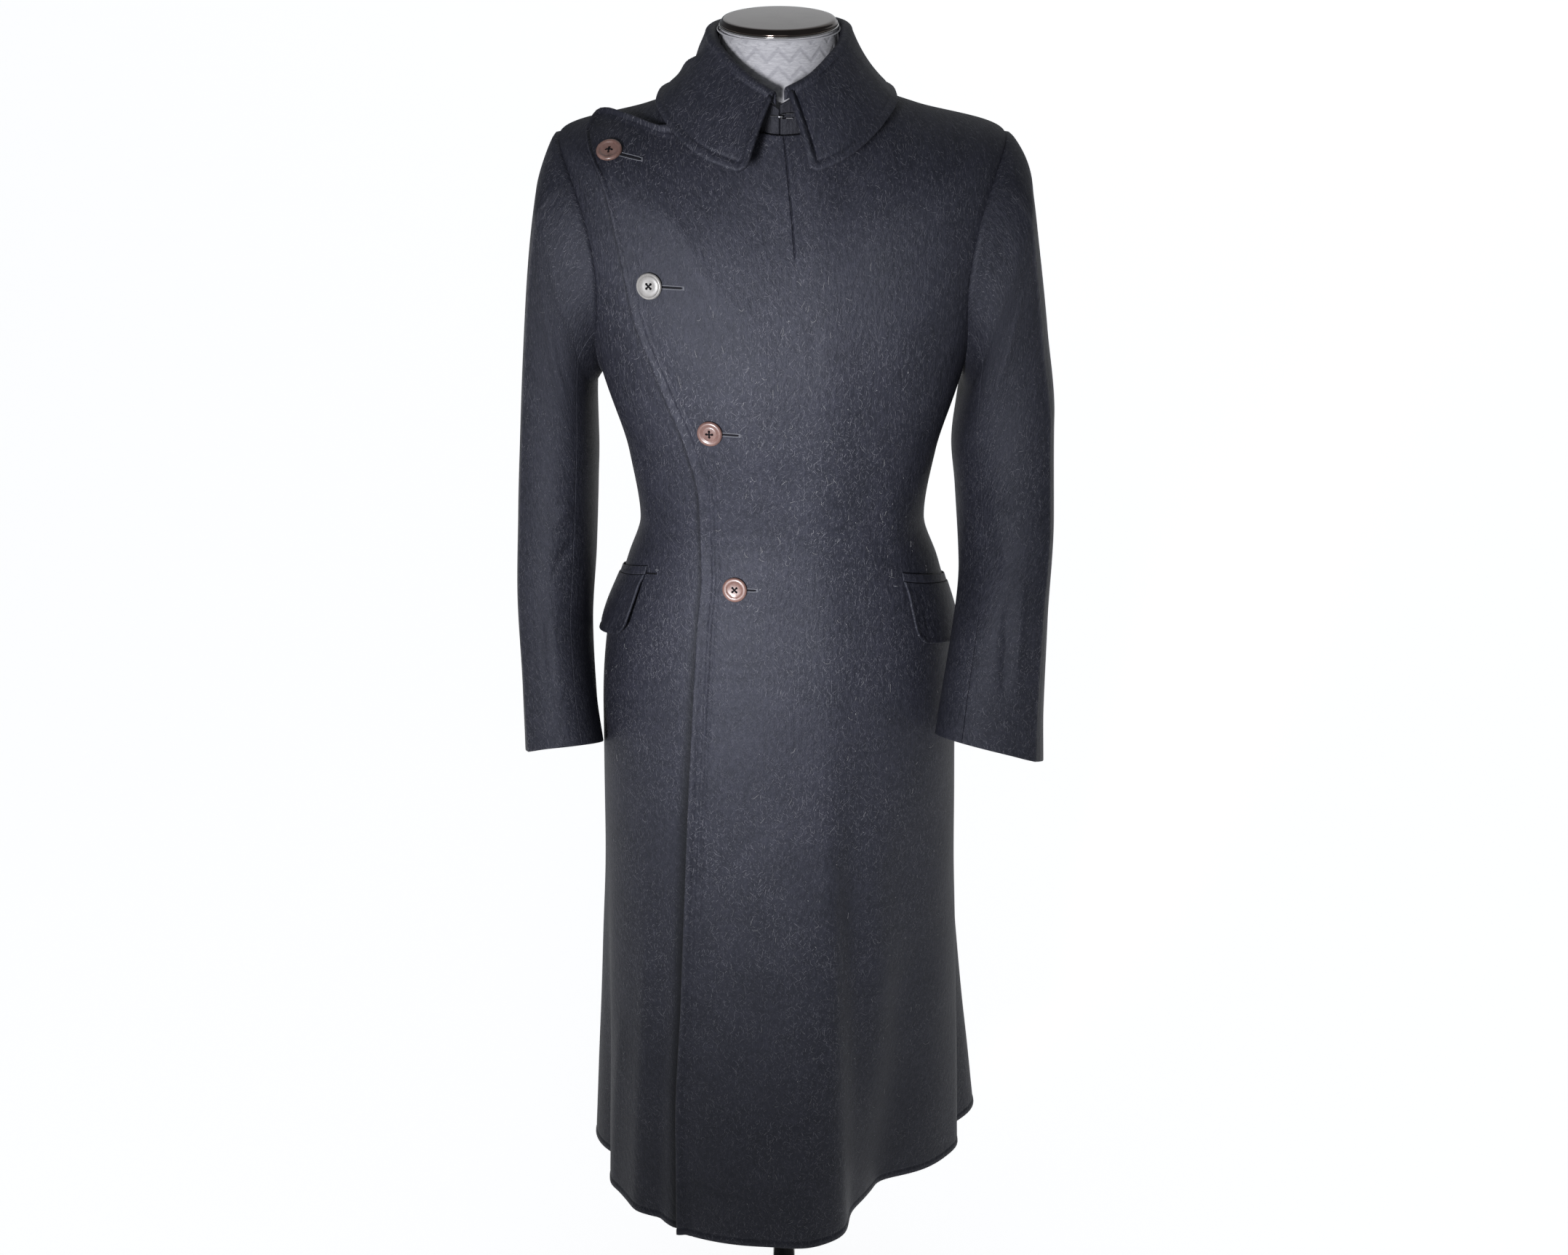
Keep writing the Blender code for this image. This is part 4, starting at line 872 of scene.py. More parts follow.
# %% Sizes and surface of the collar
Turn = namedtuple("Turn", "name fold_x fold_y fold_z edge_x edge_y edge_z bulge")
COLLAR = [
    Turn("right front edge", -9, -88, 1245, -35, -134, 1177, 3),
    Turn("right leaf", -28, -79, 1256, -74, -120, 1190, 4),
    Turn("right front turn", -52, -58, 1274, -106, -84, 1212, 4),
    Turn("right side front", -67, -29, 1290, -122, -40, 1233, -3),
    Turn("right side", -70, 4, 1298, -120, 8, 1240, -6),
    Turn("right back", -56, 48, 1303, -93, 76, 1241, -2),
    Turn("centre back", -5, 71, 1304, -5, 104, 1238, 1),
    Turn("left back", 46, 48, 1304, 82, 76, 1241, -2),
    Turn("left side", 60, 4, 1300, 107, 8, 1240, -5),
    Turn("left side front", 57, -29, 1290, 108, -40, 1234, -2),
    Turn("left front turn", 43, -58, 1275, 90, -88, 1214, 3),
    Turn("left leaf", 23, -79, 1259, 57, -121, 1190, 4),
    Turn("left front edge", 2, -88, 1249, 24, -134, 1177, 3),
]
COLLAR_ROLL, COLLAR_LIP, HOOK_ACROSS, LEAF_CORNER = 0.0042, 0.006, -0.004, 0.013
ROLL_TURNS = np.radians(np.linspace(180, 14, 11))
LEAF_ROWS = np.array([26, 22, 18.5, 16, 14, 12.6, 11.4, 10.4, 9.6, 8.8, 8, 7, 5.8, 4.4, 3.1, 2.0, 1.1,
                      0.45, 0.12, 0]) * MM
# FAR stands for a place that is not near the edge at all.
FAR = 0.2
UP = np.array([0, 0, 1.0])


def collar_rows(at):
    """The collar's table read at places from 0 at the right leaf's edge to 1 at the left one's."""
    knots = np.arange(len(COLLAR))
    value = {c: smooth(at * (len(COLLAR) - 1), knots, column(COLLAR, c)) * MM for c in Turn._fields[1:]}
    lift = np.array([0, 0, HEM_HEIGHT])
    fold, edge = (np.stack([value[f"{line}_{axis}"] for axis in "xyz"], -1) + lift
                  for line in ("fold", "edge"))
    return fold, edge, value["bulge"]


def level_out(line):
    """The level direction out from the neck at each place of a line."""
    along = np.gradient(line, axis=0)
    out = unit(np.stack([-along[:, 1], along[:, 0], 0 * along[:, 0]], -1))
    return out * np.sign(np.sum(out * line, -1, keepdims=True))


def grid_normals(grid, toward):
    """Unit normals of a grid, on the side that a reference direction field points to."""
    n = unit(np.cross(np.gradient(grid, axis=1), np.gradient(grid, axis=0)))
    return n * np.sign(np.sum(n * toward, -1, keepdims=True))


# %% Make the collar
def rim_share(count, length):
    """Places from 0 to 1 that are close at both ends, for a strip of about that length."""
    rim = RIM / length
    return np.concatenate([rim[:-1], np.linspace(rim[-1], 1 - rim[-1], count), 1 - rim[:-1][::-1]])


def make_fall():
    """The lip inside, the roll, and the leaf down to its edge, as one grid of the cloth's middle."""
    close = np.concatenate([RIM[:-1], np.arange(RIM[-1], 0.021, 0.0010)]) / 0.55
    at = np.concatenate([close, np.linspace(close[-1], 1 - close[-1], 165)[1:-1], 1 - close[::-1]])
    fold, edge, bulge = collar_rows(at)
    out = level_out(collar_rows(np.round(at, 4))[0])
    run = run_along(edge)
    near = np.minimum(run, run[-1] - run)
    rest = np.clip(LEAF_CORNER - near, 0, LEAF_CORNER)
    short = LEAF_CORNER - np.sqrt(LEAF_CORNER**2 - rest**2)
    centre = fold - UP * COLLAR_ROLL
    rolled = [np.cos(turn) * out + np.sin(turn) * UP for turn in ROLL_TURNS]
    columns = [centre - out * COLLAR_ROLL - UP * (COLLAR_LIP - d) for d in RIM]
    columns += [centre + COLLAR_ROLL * way for way in rolled]
    start = centre + COLLAR_ROLL * out
    length = np.linalg.norm(edge - start, axis=1)
    whole = (length - short)[:, None]
    place = [np.linspace(0, 1, 14)[None, :-1] * (whole - LEAF_ROWS[0]), whole - LEAF_ROWS]
    place = np.concatenate(place, 1)
    share = place / length[:, None]
    belly = (4 * share * (1 - share) * bulge[:, None])[..., None]
    slant = (out * 0.7 + UP * 0.7)[:, None]
    leaf = start[:, None] + (edge - start)[:, None] * share[..., None] + slant * belly
    grid = np.concatenate([np.stack(columns, 1), leaf], 1)
    toward = np.stack([-out] * len(RIM) + rolled, 1)
    face = grid_normals(grid, np.concatenate([toward, np.repeat(slant, share.shape[1], 1)], 1))
    down = np.broadcast_to(run_along(grid[len(at) // 2]), grid.shape[:2])
    from_edge = np.concatenate([np.full((len(at), len(columns)), FAR), whole - place], 1)
    lip = np.full(grid.shape[:2], FAR)
    lip[:, :len(RIM)] = RIM
    on_leaf = from_edge < FAR
    side = np.repeat(near[:, None], grid.shape[1], 1)
    rim = np.minimum(np.minimum(from_edge, lip), side)
    round_off = quarter(rim, COLLAR_CLOTH * 0.5)
    half = COLLAR_CLOTH / 2 * round_off
    stitched = np.minimum(from_edge, np.where(on_leaf, side, FAR))
    proud = 0.0007 * ease((0.0085 - stitched) / 0.004) - 0.0008 * bell(stitched - 0.0095, 0.0015)
    from_left, from_right = (np.where(on_leaf, v[:, None], FAR) for v in (run[-1] - run, run))
    left_edge = 0.0024 * bell(from_left - 0.0045, 0.0042) - 0.0030 * bell(from_left - 0.0118, 0.0021)
    proud = proud + ease((from_edge - 0.004) / 0.016) * left_edge
    proud = proud + 0.0010 * bell(from_right - 0.0050, 0.0040) - 0.0009 * bell(from_right - 0.0112, 0.0022)
    dent_line = from_edge - 0.060 + 0.028 * np.clip((at[:, None] - 0.25) / 0.12, -1, 1)
    dent = 0.0030 * bell(dent_line + 0.006, 0.007) - 0.0042 * bell(dent_line - 0.006, 0.007)
    proud = proud + bell(at[:, None] - 0.31, 0.055) * on_leaf * dent
    wear = 0.05 * bell(np.minimum(from_edge, side), 0.0030)
    faces = grid + face * (half + proud * round_off)[..., None], grid - face * half[..., None]
    uv = np.stack([np.repeat(run[:, None], grid.shape[1], 1), down], -1)
    sew("collar_fall_cloth", faces, uv, wear, grid)


def make_stand():
    """The stand from the neck seam up to just below the lip, meeting end to end at the hook."""
    at = rim_share(150, 0.40)
    fold = collar_rows(at)[0]
    out = level_out(fold)
    top = fold - UP * COLLAR_ROLL - out * COLLAR_ROLL - UP * (COLLAR_LIP + 4 * SEAM)
    angle = np.degrees(np.arctan2(fold[:, 0], -fold[:, 1]))
    foot = skin(angle, 0.0) + UP * (SEAM + 0.0012) - out * STAND_CLOTH / 2
    ends = np.linspace(0, 1, len(at))
    for share, end, way in ((ends, 0, -1), (1 - ends, -1, 1)):
        share = bell(share, 0.035)[:, None]
        to_top = np.array([HOOK_ACROSS + way * SEAM / 2 - top[end, 0], 0, -0.003])
        to_foot = np.array([HOOK_ACROSS + way * SEAM / 2 - foot[end, 0], 0, 0])
        top, foot = top + to_top * share, foot + to_foot * share
    share = rim_share(8, 0.03)
    grid = foot[:, None] * (1 - share)[:, None] + top[:, None] * share[:, None]
    face = grid_normals(grid, np.repeat(out[:, None], len(share), 1))
    run = run_along(foot)
    down = share * np.linalg.norm(top - foot, axis=1)[:, None]
    near = np.minimum(np.minimum(run, run[-1] - run)[:, None], np.minimum(down, down[:, -1:] - down))
    half = (STAND_CLOTH / 2 * quarter(near, STAND_CLOTH * 0.5))[..., None]
    uv = np.stack([np.repeat(run[:, None], len(share), 1), down], -1)
    sew("collar_stand_cloth", (grid + face * half, grid - face * half), uv, 0 * near, grid,
        under_wool)


make_fall()
make_stand()

# %% [markdown]
# ## The pockets
# A narrow welt lies on the body, and a flap hangs below it and stands off the hip. Both are
# patches of the body's skin, lifted along its normal. The flap's front corner is rounded by
# shortening its rows as a circle does, and a stitched groove runs round it.

# %% Sizes and pieces of the pockets
FLAP_TAPE, FLAP_DROP, FLAP_CORNER = 0.451, 0.064, 0.016
FLAP_SLANT, WELT_HEIGHT, POCKET_GAP = 0.0009, 0.009, 0.0010
WELT_ROWS = np.array([0, 0.12, 0.45, 1.0, 1.8, 3, 4.5, 6, 7.2, 8, 8.55, 8.88, 9]) * MM
LEFT_FLAP = dict(start=52.5, end=103.0, flare=0.004)
RIGHT_FLAP = dict(start=-106.0, end=-63.0, flare=0.005)


def flap_top(angle, side):
    """The tape of a flap's top edge: it runs lower by a fixed slant for each degree."""
    front = LEFT_FLAP["start"] if side > 0 else -RIGHT_FLAP["end"]
    return FLAP_TAPE + FLAP_SLANT * (np.abs(angle) - front)


def body_relief(angle, tape):
    """How far the panel under a small piece is pushed out by waves and creases."""
    return waves(angle, tape) + creases(angle, tape)


def make_pocket(side_name, start, end, flare, side):
    """The flap and the welt of one pocket."""
    share = rim_share(52, 0.125)
    angle = start + (end - start) * share
    top = flap_top(angle, side)
    run = run_along(skin(angle, top + FLAP_DROP))
    from_front = run if side > 0 else run[-1] - run
    rest = np.clip(FLAP_CORNER - from_front, 0, FLAP_CORNER)
    drop = (FLAP_DROP - FLAP_CORNER + np.sqrt(FLAP_CORNER**2 - rest**2))[:, None]
    down = rim_share(26, 0.06)[None]
    tape = top[:, None] + down * drop
    turn = np.repeat(angle[:, None], down.shape[1], 1)
    sides = np.minimum(run, run[-1] - run)[:, None]
    lower = (1 - down) * drop
    rim = np.minimum(np.minimum(sides, lower), down * drop)
    round_off = quarter(rim, FLAP_CLOTH * 0.5)
    half = FLAP_CLOTH / 2 * round_off
    stitched = np.minimum(sides, lower)
    proud = 0.0005 * ease((0.006 - stitched) / 0.003) - 0.0006 * bell(stitched - 0.0072, 0.0013)
    stand_off = 0.0030 * ease((0.022 - from_front) / 0.022)[:, None] * ease(down / 0.25)
    base = WOOL + lap_lift(turn) * (side > 0) + POCKET_GAP + flare * down**1.3 + stand_off
    middle = base + body_relief(turn, tape) + FLAP_CLOTH / 2
    faces = body(turn, tape, middle + half + proud * round_off), body(turn, tape, middle - half)
    uv = np.stack([np.repeat(run[:, None], down.shape[1], 1), down * drop], -1)
    sew(f"pocket_flap_{side_name}_cloth", faces, uv, 0.06 * bell(stitched, 0.0025),
        body(turn, tape, middle))

    across = rim_share(46, 0.12)
    angle = start + (end - start) * across
    tape = (flap_top(angle, side) - SEAM - WELT_HEIGHT)[:, None] + WELT_ROWS
    turn = np.repeat(angle[:, None], len(WELT_ROWS), 1)
    length = np.linalg.norm(skin(angle[-1], tape[-1, 0]) - skin(angle[0], tape[0, 0])) * 1.05
    sides = (np.minimum(across, 1 - across) * length)[:, None]
    rim = np.minimum(sides, np.minimum(WELT_ROWS, WELT_ROWS[-1] - WELT_ROWS))
    half = WELT_CLOTH / 2 * quarter(rim, WELT_CLOTH * 0.9)
    middle = WOOL + lap_lift(turn) * (side > 0) + POCKET_GAP + WELT_CLOTH / 2 + body_relief(turn, tape)
    faces = body(turn, tape, middle + half), body(turn, tape, middle - half)
    uv = np.stack(np.broadcast_arrays((across * length)[:, None], WELT_ROWS), -1)
    sew(f"pocket_welt_{side_name}_cloth", faces, uv, 0.12 * bell(rim, 0.0012), body(turn, tape, middle))


make_pocket("left", side=1, **LEFT_FLAP)
make_pocket("right", side=-1, **RIGHT_FLAP)

# %% [markdown]
# ## Four odd buttons
# The coat's buttons have been replaced over the years, so each has its own rim, dish and colour.
# A button is a turned profile, with four holes cut through it by a boolean, whose result is kept
# as plain mesh. A black thread crosses between the holes.

# %% Button finishes
def button_finish(name, dark, light, cloud_scale, roughness):
    """Polished plastic or horn: slow marbling, fine flecks and a slightly worn gloss."""
    n = Nodes(name, roughness)
    n.shader.inputs["Coat Weight"].default_value = 0.12
    n.shader.inputs["Coat Roughness"].default_value = 0.12
    where = n.place((1, 1, 0.4), "Object")
    cloud = n.between(n.noise(where, cloud_scale, 3.0, 0.55), 0.30, 0.70)
    fleck = n.between(n.noise(where, 2600.0, 2.0, 0.6), 0.58, 0.75)
    colour = n.mix(cloud, dark, light)
    colour = n.mix(n.times(fleck, 0.14), colour, (0.60, 0.55, 0.52, 1))
    rough = n.between(n.noise(where, 900.0, 2.0), 0.3, 0.7, roughness - 0.06, roughness + 0.10)
    return n.finish(colour, n.bump(n.noise(where, 1500.0, 2.0), 0.00004, 0.4), rough)


def yarn(name, roughness, scale, dark, light, strength=0.6, specular=0.5):
    """Spun thread or lint: one fine noise gives both its colour and its bump."""
    n = Nodes(name, roughness)
    n.shader.inputs["Specular IOR Level"].default_value = specular
    twist = n.noise(n.place(source="Object"), scale)
    return n.finish(n.mix(twist, dark, light), n.bump(twist, 0.0001, strength))


horn = button_finish("button_horn", (0.085, 0.045, 0.037, 1), (0.140, 0.082, 0.070, 1), 120.0, 0.34)
rose = button_finish("button_rose", (0.090, 0.045, 0.037, 1), (0.125, 0.067, 0.055, 1), 110.0, 0.40)
dark_rose = button_finish("button_dark", (0.070, 0.034, 0.029, 1), (0.120, 0.068, 0.058, 1), 130.0, 0.34)
pale = button_finish("button_pale", (0.120, 0.116, 0.112, 1), (0.170, 0.164, 0.158, 1), 120.0, 0.40)
thread = yarn("black_thread", 0.7, 3000.0, (0.0015, 0.0015, 0.002, 1), (0.008, 0.008, 0.010, 1),
              specular=0.06)

# %% Make the buttons
Button = namedtuple("Button", "name tape across radius turn finish slot profile")
BUTTONS = [
    Button("button_1", 108, -164, 12.5, 0, horn, "button",
           [(0, 0), (9.8, 0), (11.6, 0.5), (12.5, 1.5), (12.5, 2.6), (12.1, 3.5), (11.2, 4.1), (10.0, 4.2),
            (9.0, 3.9), (8.4, 3.2), (7.9, 2.95), (4, 2.9), (0, 2.9)]),
    Button("button_2", 194, -125, 12.5, 45, pale, "button_pale",
           [(0, 0), (10.2, 0), (11.8, 0.5), (12.5, 1.4), (12.5, 2.5), (12.2, 3.3), (11.5, 3.9), (10.7, 3.95),
            (10.15, 3.5), (9.8, 3.3), (9.4, 3.5), (8.9, 3.75), (5.5, 3.6), (3.5, 3.5), (0, 3.5)]),
    Button("button_3", 287, -70, 12.5, 0, dark_rose, "button",
           [(0, 0), (10, 0), (11.8, 0.6), (12.5, 1.6), (12.4, 2.8), (11.6, 3.7), (10.2, 4.15), (8.8, 3.9),
            (7.9, 3.4), (7.4, 3.25), (6.9, 3.5), (6.2, 3.6), (0, 3.55)]),
    Button("button_4", 446, -48, 12.5, 45, rose, "button",
           [(0, 0), (10, 0), (11.8, 0.6), (12.5, 1.5), (12.5, 2.6), (12.0, 3.5), (11.0, 4.1), (9.4, 4.2),
            (8.3, 3.95), (7.6, 3.3), (7.0, 3.05), (3, 3.0), (0, 3.0)]),
]
HOLE_RADIUS, HOLE_PLACE, BUTTON_SIDES = 0.00125, 0.0029, 96
THREAD_REACH = np.array([-2.95, -2.9, -2.3, -0.8, 0.8, 2.3, 2.9, 2.95])
THREAD_HEIGHT = np.array([-2.2, -0.3, 0.32, 0.5, 0.5, 0.32, -0.3, -2.2])


def tube(rows, sides, base=0):
    """Point numbers of a tube's rings, with the first column again at the end."""
    index = base + np.arange(rows * sides).reshape(rows, sides)
    return np.concatenate([index, index[:, :1]], 1)


def fan(tip, first, second):
    """Triangles from a tip to the pairs of two lists of points."""
    return [[tip, a, b] for a, b in zip(first, second)]


def turned(profile, sides, squash=None):
    """A turned solid: each (radius, height) becomes a ring; the axis points close its ends."""
    turn = np.linspace(0, 2 * np.pi, sides, endpoint=False)
    rings = np.array([p for p in profile if p[0] > 0], float)
    ring = np.stack([np.cos(turn), np.sin(turn)], -1)
    radius = rings[:, :1] * (np.ones(sides) if squash is None else squash(rings[:, :1], turn))
    flat, height = radius[..., None] * ring, np.repeat(rings[:, 1:], sides, 1)[..., None]
    points = np.concatenate([flat, height], -1).reshape(-1, 3)
    points = np.concatenate([points, [(0, 0, profile[0][1]), (0, 0, profile[-1][1])]])
    index = tube(len(rings), sides)
    last = len(rings) * sides
    faces = squares(index).tolist() + fan(last, index[0, 1:], index[0, :-1])
    return points, faces + fan(last + 1, index[-1, :-1], index[-1, 1:])


def panel_frame(angle, tape, lift):
    """A place on the left front with its level and upward directions and its normal."""
    spot = body(angle, tape, lift)
    out = unit(body(angle, tape, lift + 0.01) - spot)
    level = unit(np.cross(UP, out))
    return spot, level, np.cross(out, level), out


def front_face(angle, tape):
    """How far the left front's outer face lies from the skin."""
    return lap_lift(angle) + WOOL + body_relief(angle, tape)


def keep_boolean(piece, cutters):
    """Cuts the cutters out of a piece and keeps the result as its mesh."""
    for cutter in cutters:
        cut = piece.modifiers.new("hole", "BOOLEAN")
        cut.operation, cut.solver, cut.object = "DIFFERENCE", "EXACT", cutter
    bpy.context.view_layer.update()
    mesh = bpy.data.meshes.new_from_object(piece.evaluated_get(bpy.context.evaluated_depsgraph_get()))
    piece.modifiers.clear()
    piece.data = mesh
    for cutter in cutters:
        bpy.data.objects.remove(cutter)


def soft_diamond(radius, turn):
    """A recess that is a rounded diamond: rings inside 8 mm reach further along the axes."""
    inner = ease((8.6 - radius) / 1.2) * ease((radius - 5.0) / 1.5)
    return 1 + inner * (0.06 * np.cos(4 * turn))


def make_button(row):
    """Turns the button, drills it, and lays it on the lapped front at its place."""
    squash = soft_diamond if row.name == "button_4" else None
    points, faces = turned(row.profile, BUTTON_SIDES, squash)
    angle = float(angle_at(row.across * MM, row.tape * MM))
    box = [np.array(c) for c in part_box(row.name)]
    spot, level, up, out = panel_frame(angle, row.tape * MM, front_face(angle, row.tape * MM))
    seat = float(np.dot((box[0] + box[1]) / 2 - spot, out)) - 0.0021
    spot = spot + out * max(seat, 0.0002)
    axes = np.stack([level, up, out])
    piece = mesh_piece(f"{row.name}_disc", points * MM @ axes + spot, faces, row.finish)
    cutters = []
    for turn in np.radians(row.turn + np.array([0, 90, 180, 270])):
        ring, sides = turned([(0, -3), (HOLE_RADIUS / MM, -3), (HOLE_RADIUS / MM, 8), (0, 8)], 20)
        ring = ring + np.array([np.cos(turn), np.sin(turn), 0]) * HOLE_PLACE / MM
        mesh = bpy.data.meshes.new("cutter")
        mesh.from_pydata(ring * MM @ axes + spot, [], sides)
        cutters.append(bpy.data.objects.new("cutter", mesh))
        bpy.context.scene.collection.objects.link(cutters[-1])
    keep_boolean(piece, cutters)
    piece.data.shade_smooth()
    piece.data.set_sharp_from_angle(angle=math.radians(38))
    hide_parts(row.name)
    paths = []
    for rise, turn in ((0.0, row.turn), (0.3, row.turn + 90)):
        along = np.array([np.cos(np.radians(turn)), np.sin(np.radians(turn))])
        height = row.profile[-1][1] + THREAD_HEIGHT + rise
        for shift in (-0.36, 0.36):
            beside = np.array([-along[1], along[0]]) * shift
            path = np.concatenate([THREAD_REACH[:, None] * along + beside, height[:, None]], 1)
            paths.append(path * MM @ axes + spot)
    strands(f"{row.name}_thread", paths, 0.00038, thread)


def strands(name, paths, radius, finish, sides=7):
    """Round strands: a ring of the radius carried along each path on a frame of its directions."""
    points, faces, base = [], [], 0
    turn = np.linspace(0, 2 * np.pi, sides, endpoint=False)[None, :, None]
    for path in paths:
        path = np.asarray(path, float)
        along = unit(np.gradient(path, axis=0))
        aside = unit(np.cross(along, np.array([0.13, 0.31, 0.94])))
        other = np.cross(along, aside)
        ring = path[:, None] + radius * (np.cos(turn) * aside[:, None] + np.sin(turn) * other[:, None])
        index = tube(len(path), sides, base)
        faces += squares(index).tolist() + [index[0, :-1][::-1].tolist(), index[-1, :-1].tolist()]
        points.append(ring.reshape(-1, 3))
        base += len(path) * sides
    piece = mesh_piece(name, np.concatenate(points), faces, finish)


for row in BUTTONS:
    make_button(row)
print("buttons made")

# %% [markdown]
# ## Buttonholes, tacks and stray hairs
# A buttonhole is a cut whose two lips are bound with close stitches and stopped by a bar. It could
# be drawn into the wool's colour, but the lips stand up and catch the light, so they are strands
# that waver as stitches do, laid on the panel's own face. The pockets' ends are held by a few
# tacking stitches. The stray hairs are strands too, each a short curve with its own seeded chance.

# %% Make the sewing and the hairs
grey_thread = yarn("grey_thread", 0.75, 2400.0, (0.045, 0.047, 0.056, 1), (0.125, 0.128, 0.145, 1))
lint = yarn("lint", 0.8, 500.0, (0.12, 0.12, 0.125, 1), (0.32, 0.32, 0.33, 1), strength=0.4)
Hole = namedtuple("Hole", "button reach slope")
HOLES = [Hole(0, 30.5, 0.20), Hole(1, 31.0, 0.03), Hole(2, 28.0, 0.04), Hole(3, 21.5, 0.0)]
LIP_APART, LIP_WAVER, LIP_PITCH = 1.6, 0.16, 1.1
LEVEL_STEPS, LEVEL_SHARE, HAIR_SEED = 14, 0.8, 11


def on_front(angle, tape, up):
    """Points on the left front's outer face, lifted by up."""
    return body(angle, tape, front_face(angle, tape) + up)


def along_front(row, across, down, up):
    """Points beside a button, that far across in x and down in z: the tape distance is corrected
    step by step by the height that is still missing."""
    across, down = np.broadcast_arrays(np.asarray(across, float), np.asarray(down, float))
    start = on_front(float(angle_at(row.across * MM, row.tape * MM)), row.tape * MM, 0.0)
    tape = np.full(across.shape, row.tape * MM)
    for _ in range(LEVEL_STEPS):
        angle = angle_at((row.across + across) * MM, tape)
        tape = tape + LEVEL_SHARE * (on_front(angle, tape, 0.0)[..., 2] - start[2] + down * MM)
    return on_front(angle, tape, np.asarray(up) * MM)


def make_buttonhole(hole):
    """Two lips = level lines with a small sine waver, a bar across their end, and a cut of painted shade."""
    row = BUTTONS[hole.button]
    run = np.arange(8.0, hole.reach, LIP_PITCH / 3)
    drop = hole.slope * run
    waver = LIP_WAVER * np.sin(2 * np.pi * run / LIP_PITCH)
    narrow = 1 - 0.25 * ease((run - hole.reach + 4) / 4)
    rise = 0.25 + swell_near(row, run)
    lips = [along_front(row, run, drop + way * LIP_APART * narrow + waver, rise) for way in (-1, 1)]
    side = np.linspace(-2.0, 2.0, 9)
    far = np.full(9, hole.reach)
    bar = along_front(row, far, hole.slope * far + side, 0.3 + 0.25 * np.cos(side) + swell_near(row, far))
    again = along_front(row, far + 0.7, hole.slope * far + side * 0.8, 0.2 + swell_near(row, far))
    name = f"buttonhole_{hole.button + 1}"
    strands(f"{name}_lips", [*lips, bar, again], 0.00036, grey_thread, 6)
    # Painted shade: a black strand along the slit between the lips.
    cut = along_front(row, run[:-3], drop[:-3], -0.2 + swell_near(row, run[:-3]))
    strands(f"{name}_cut", [cut], 0.00085, thread, 8)


def swell_near(row, across):
    """The lap's swell in millimetres at places beside a button, from their distance to the edge."""
    angle = float(angle_at(row.across * MM, row.tape * MM))
    edge = float(lap_edge(np.array([row.tape * MM]))[0])
    width = np.linalg.norm(skin(angle, row.tape * MM) - skin(edge, row.tape * MM))
    from_edge = width + np.asarray(across) * MM
    return lap_swell(from_edge, row.tape * MM + 0 * from_edge) / MM


for hole in HOLES:
    make_buttonhole(hole)


def right_front(angle, tape, up):
    """Points on the right front's outer face, lifted by up."""
    return body(angle, tape, WOOL + body_relief(angle, tape) + up)


def tack(face, angle, tape, length, slant, count):
    """Tacking stitches: short arcs beside each other, each a little longer than the last."""
    paths = []
    for k in range(count):
        s = np.linspace(-0.5, 0.5, 7)
        reach = length * (0.7 + 0.3 * k / count)
        at = angle + s * reach * 0.35 + k * 0.42
        down = (tape + s * reach * slant + k * 0.5) * MM
        paths.append(face(at, down, (0.15 + 0.5 * (1 - 4 * s * s)) * MM))
    return paths


def make_tacks():
    """The pockets' corner tacks, and painted shadow at the right pocket's mouth's end: a black strand."""
    left = tack(on_front, 47.0, 442.5, 5.0, 0.45, 4) + tack(on_front, 48.6, 453.0, 5.5, 0.15, 3)
    right = tack(right_front, -58.0, 441.5, 4.2, -0.7, 3)
    strands("pocket_tacks", left + right, 0.00024, grey_thread, 6)
    # Painted shadow: a black strand of thread where the pocket's mouth lies in shade.
    s = np.linspace(0, 1, 14)
    mouth = right_front(-57.3 - 6.5 * s, (445.8 + 4.2 * s) * MM, (0.25 - 0.2 * s) * MM)
    strands("pocket_mouth_right", [mouth], 0.0009, thread, 8)


make_tacks()


def hair_paths(face, count, angles, tapes, longest, chance):
    """Hairs = short curves: a start, a direction near the nap's and a bend, all seeded chances."""
    start = chance.uniform(*angles, count), chance.uniform(*tapes, count)
    lean, bend = chance.normal(0, 0.6, count), chance.normal(0, 1.1, count)
    length = chance.uniform(0.25, 1.0, count) ** 1.6 * longest
    s = np.linspace(0, 1, 7)[None]
    turn = lean[:, None] + bend[:, None] * s
    step = length[:, None] / 6
    across = np.cumsum(np.sin(turn) * step, 1) / 3.1
    down = np.cumsum(np.cos(turn) * step, 1)
    up = 0.12 + 0.35 * np.sin(np.pi * s) * chance.uniform(0, 1, count)[:, None]
    return list(face(start[0][:, None] + across, (start[1][:, None] + down) * MM, up * MM))


chance = np.random.default_rng(HAIR_SEED)
on_lap = hair_paths(on_front, 130, (-14, 70), (330, 1195), 9, chance)
upper = hair_paths(on_front, 80, (-38, 52), (130, 420), 9, chance)
low = hair_paths(right_front, 40, (-84, -50), (470, 1190), 8, chance)
dots = hair_paths(on_front, 45, (-16, 56), (150, 1190), 1.4, chance)
strands("stray_hairs", on_lap + upper + low, 0.00010, lint, 5)
strands("lint_specks", dots, 0.00030, lint, 5)
print("hairs:", len(on_lap + upper + low), "specks:", len(dots))

# %% [markdown]
# ## The dress form
# A padded torso in a pale stretch cover, with zigzag rows pressed into it, ends in a neck under a
# bright cap. The torso lies just inside the coat, so it is the body's skin moved in. The neck is
# a blend of the torso's top ring and the cap's oval. The zigzags are real relief: a triangle wave
# round the neck shifts evenly spaced ridges up and down.

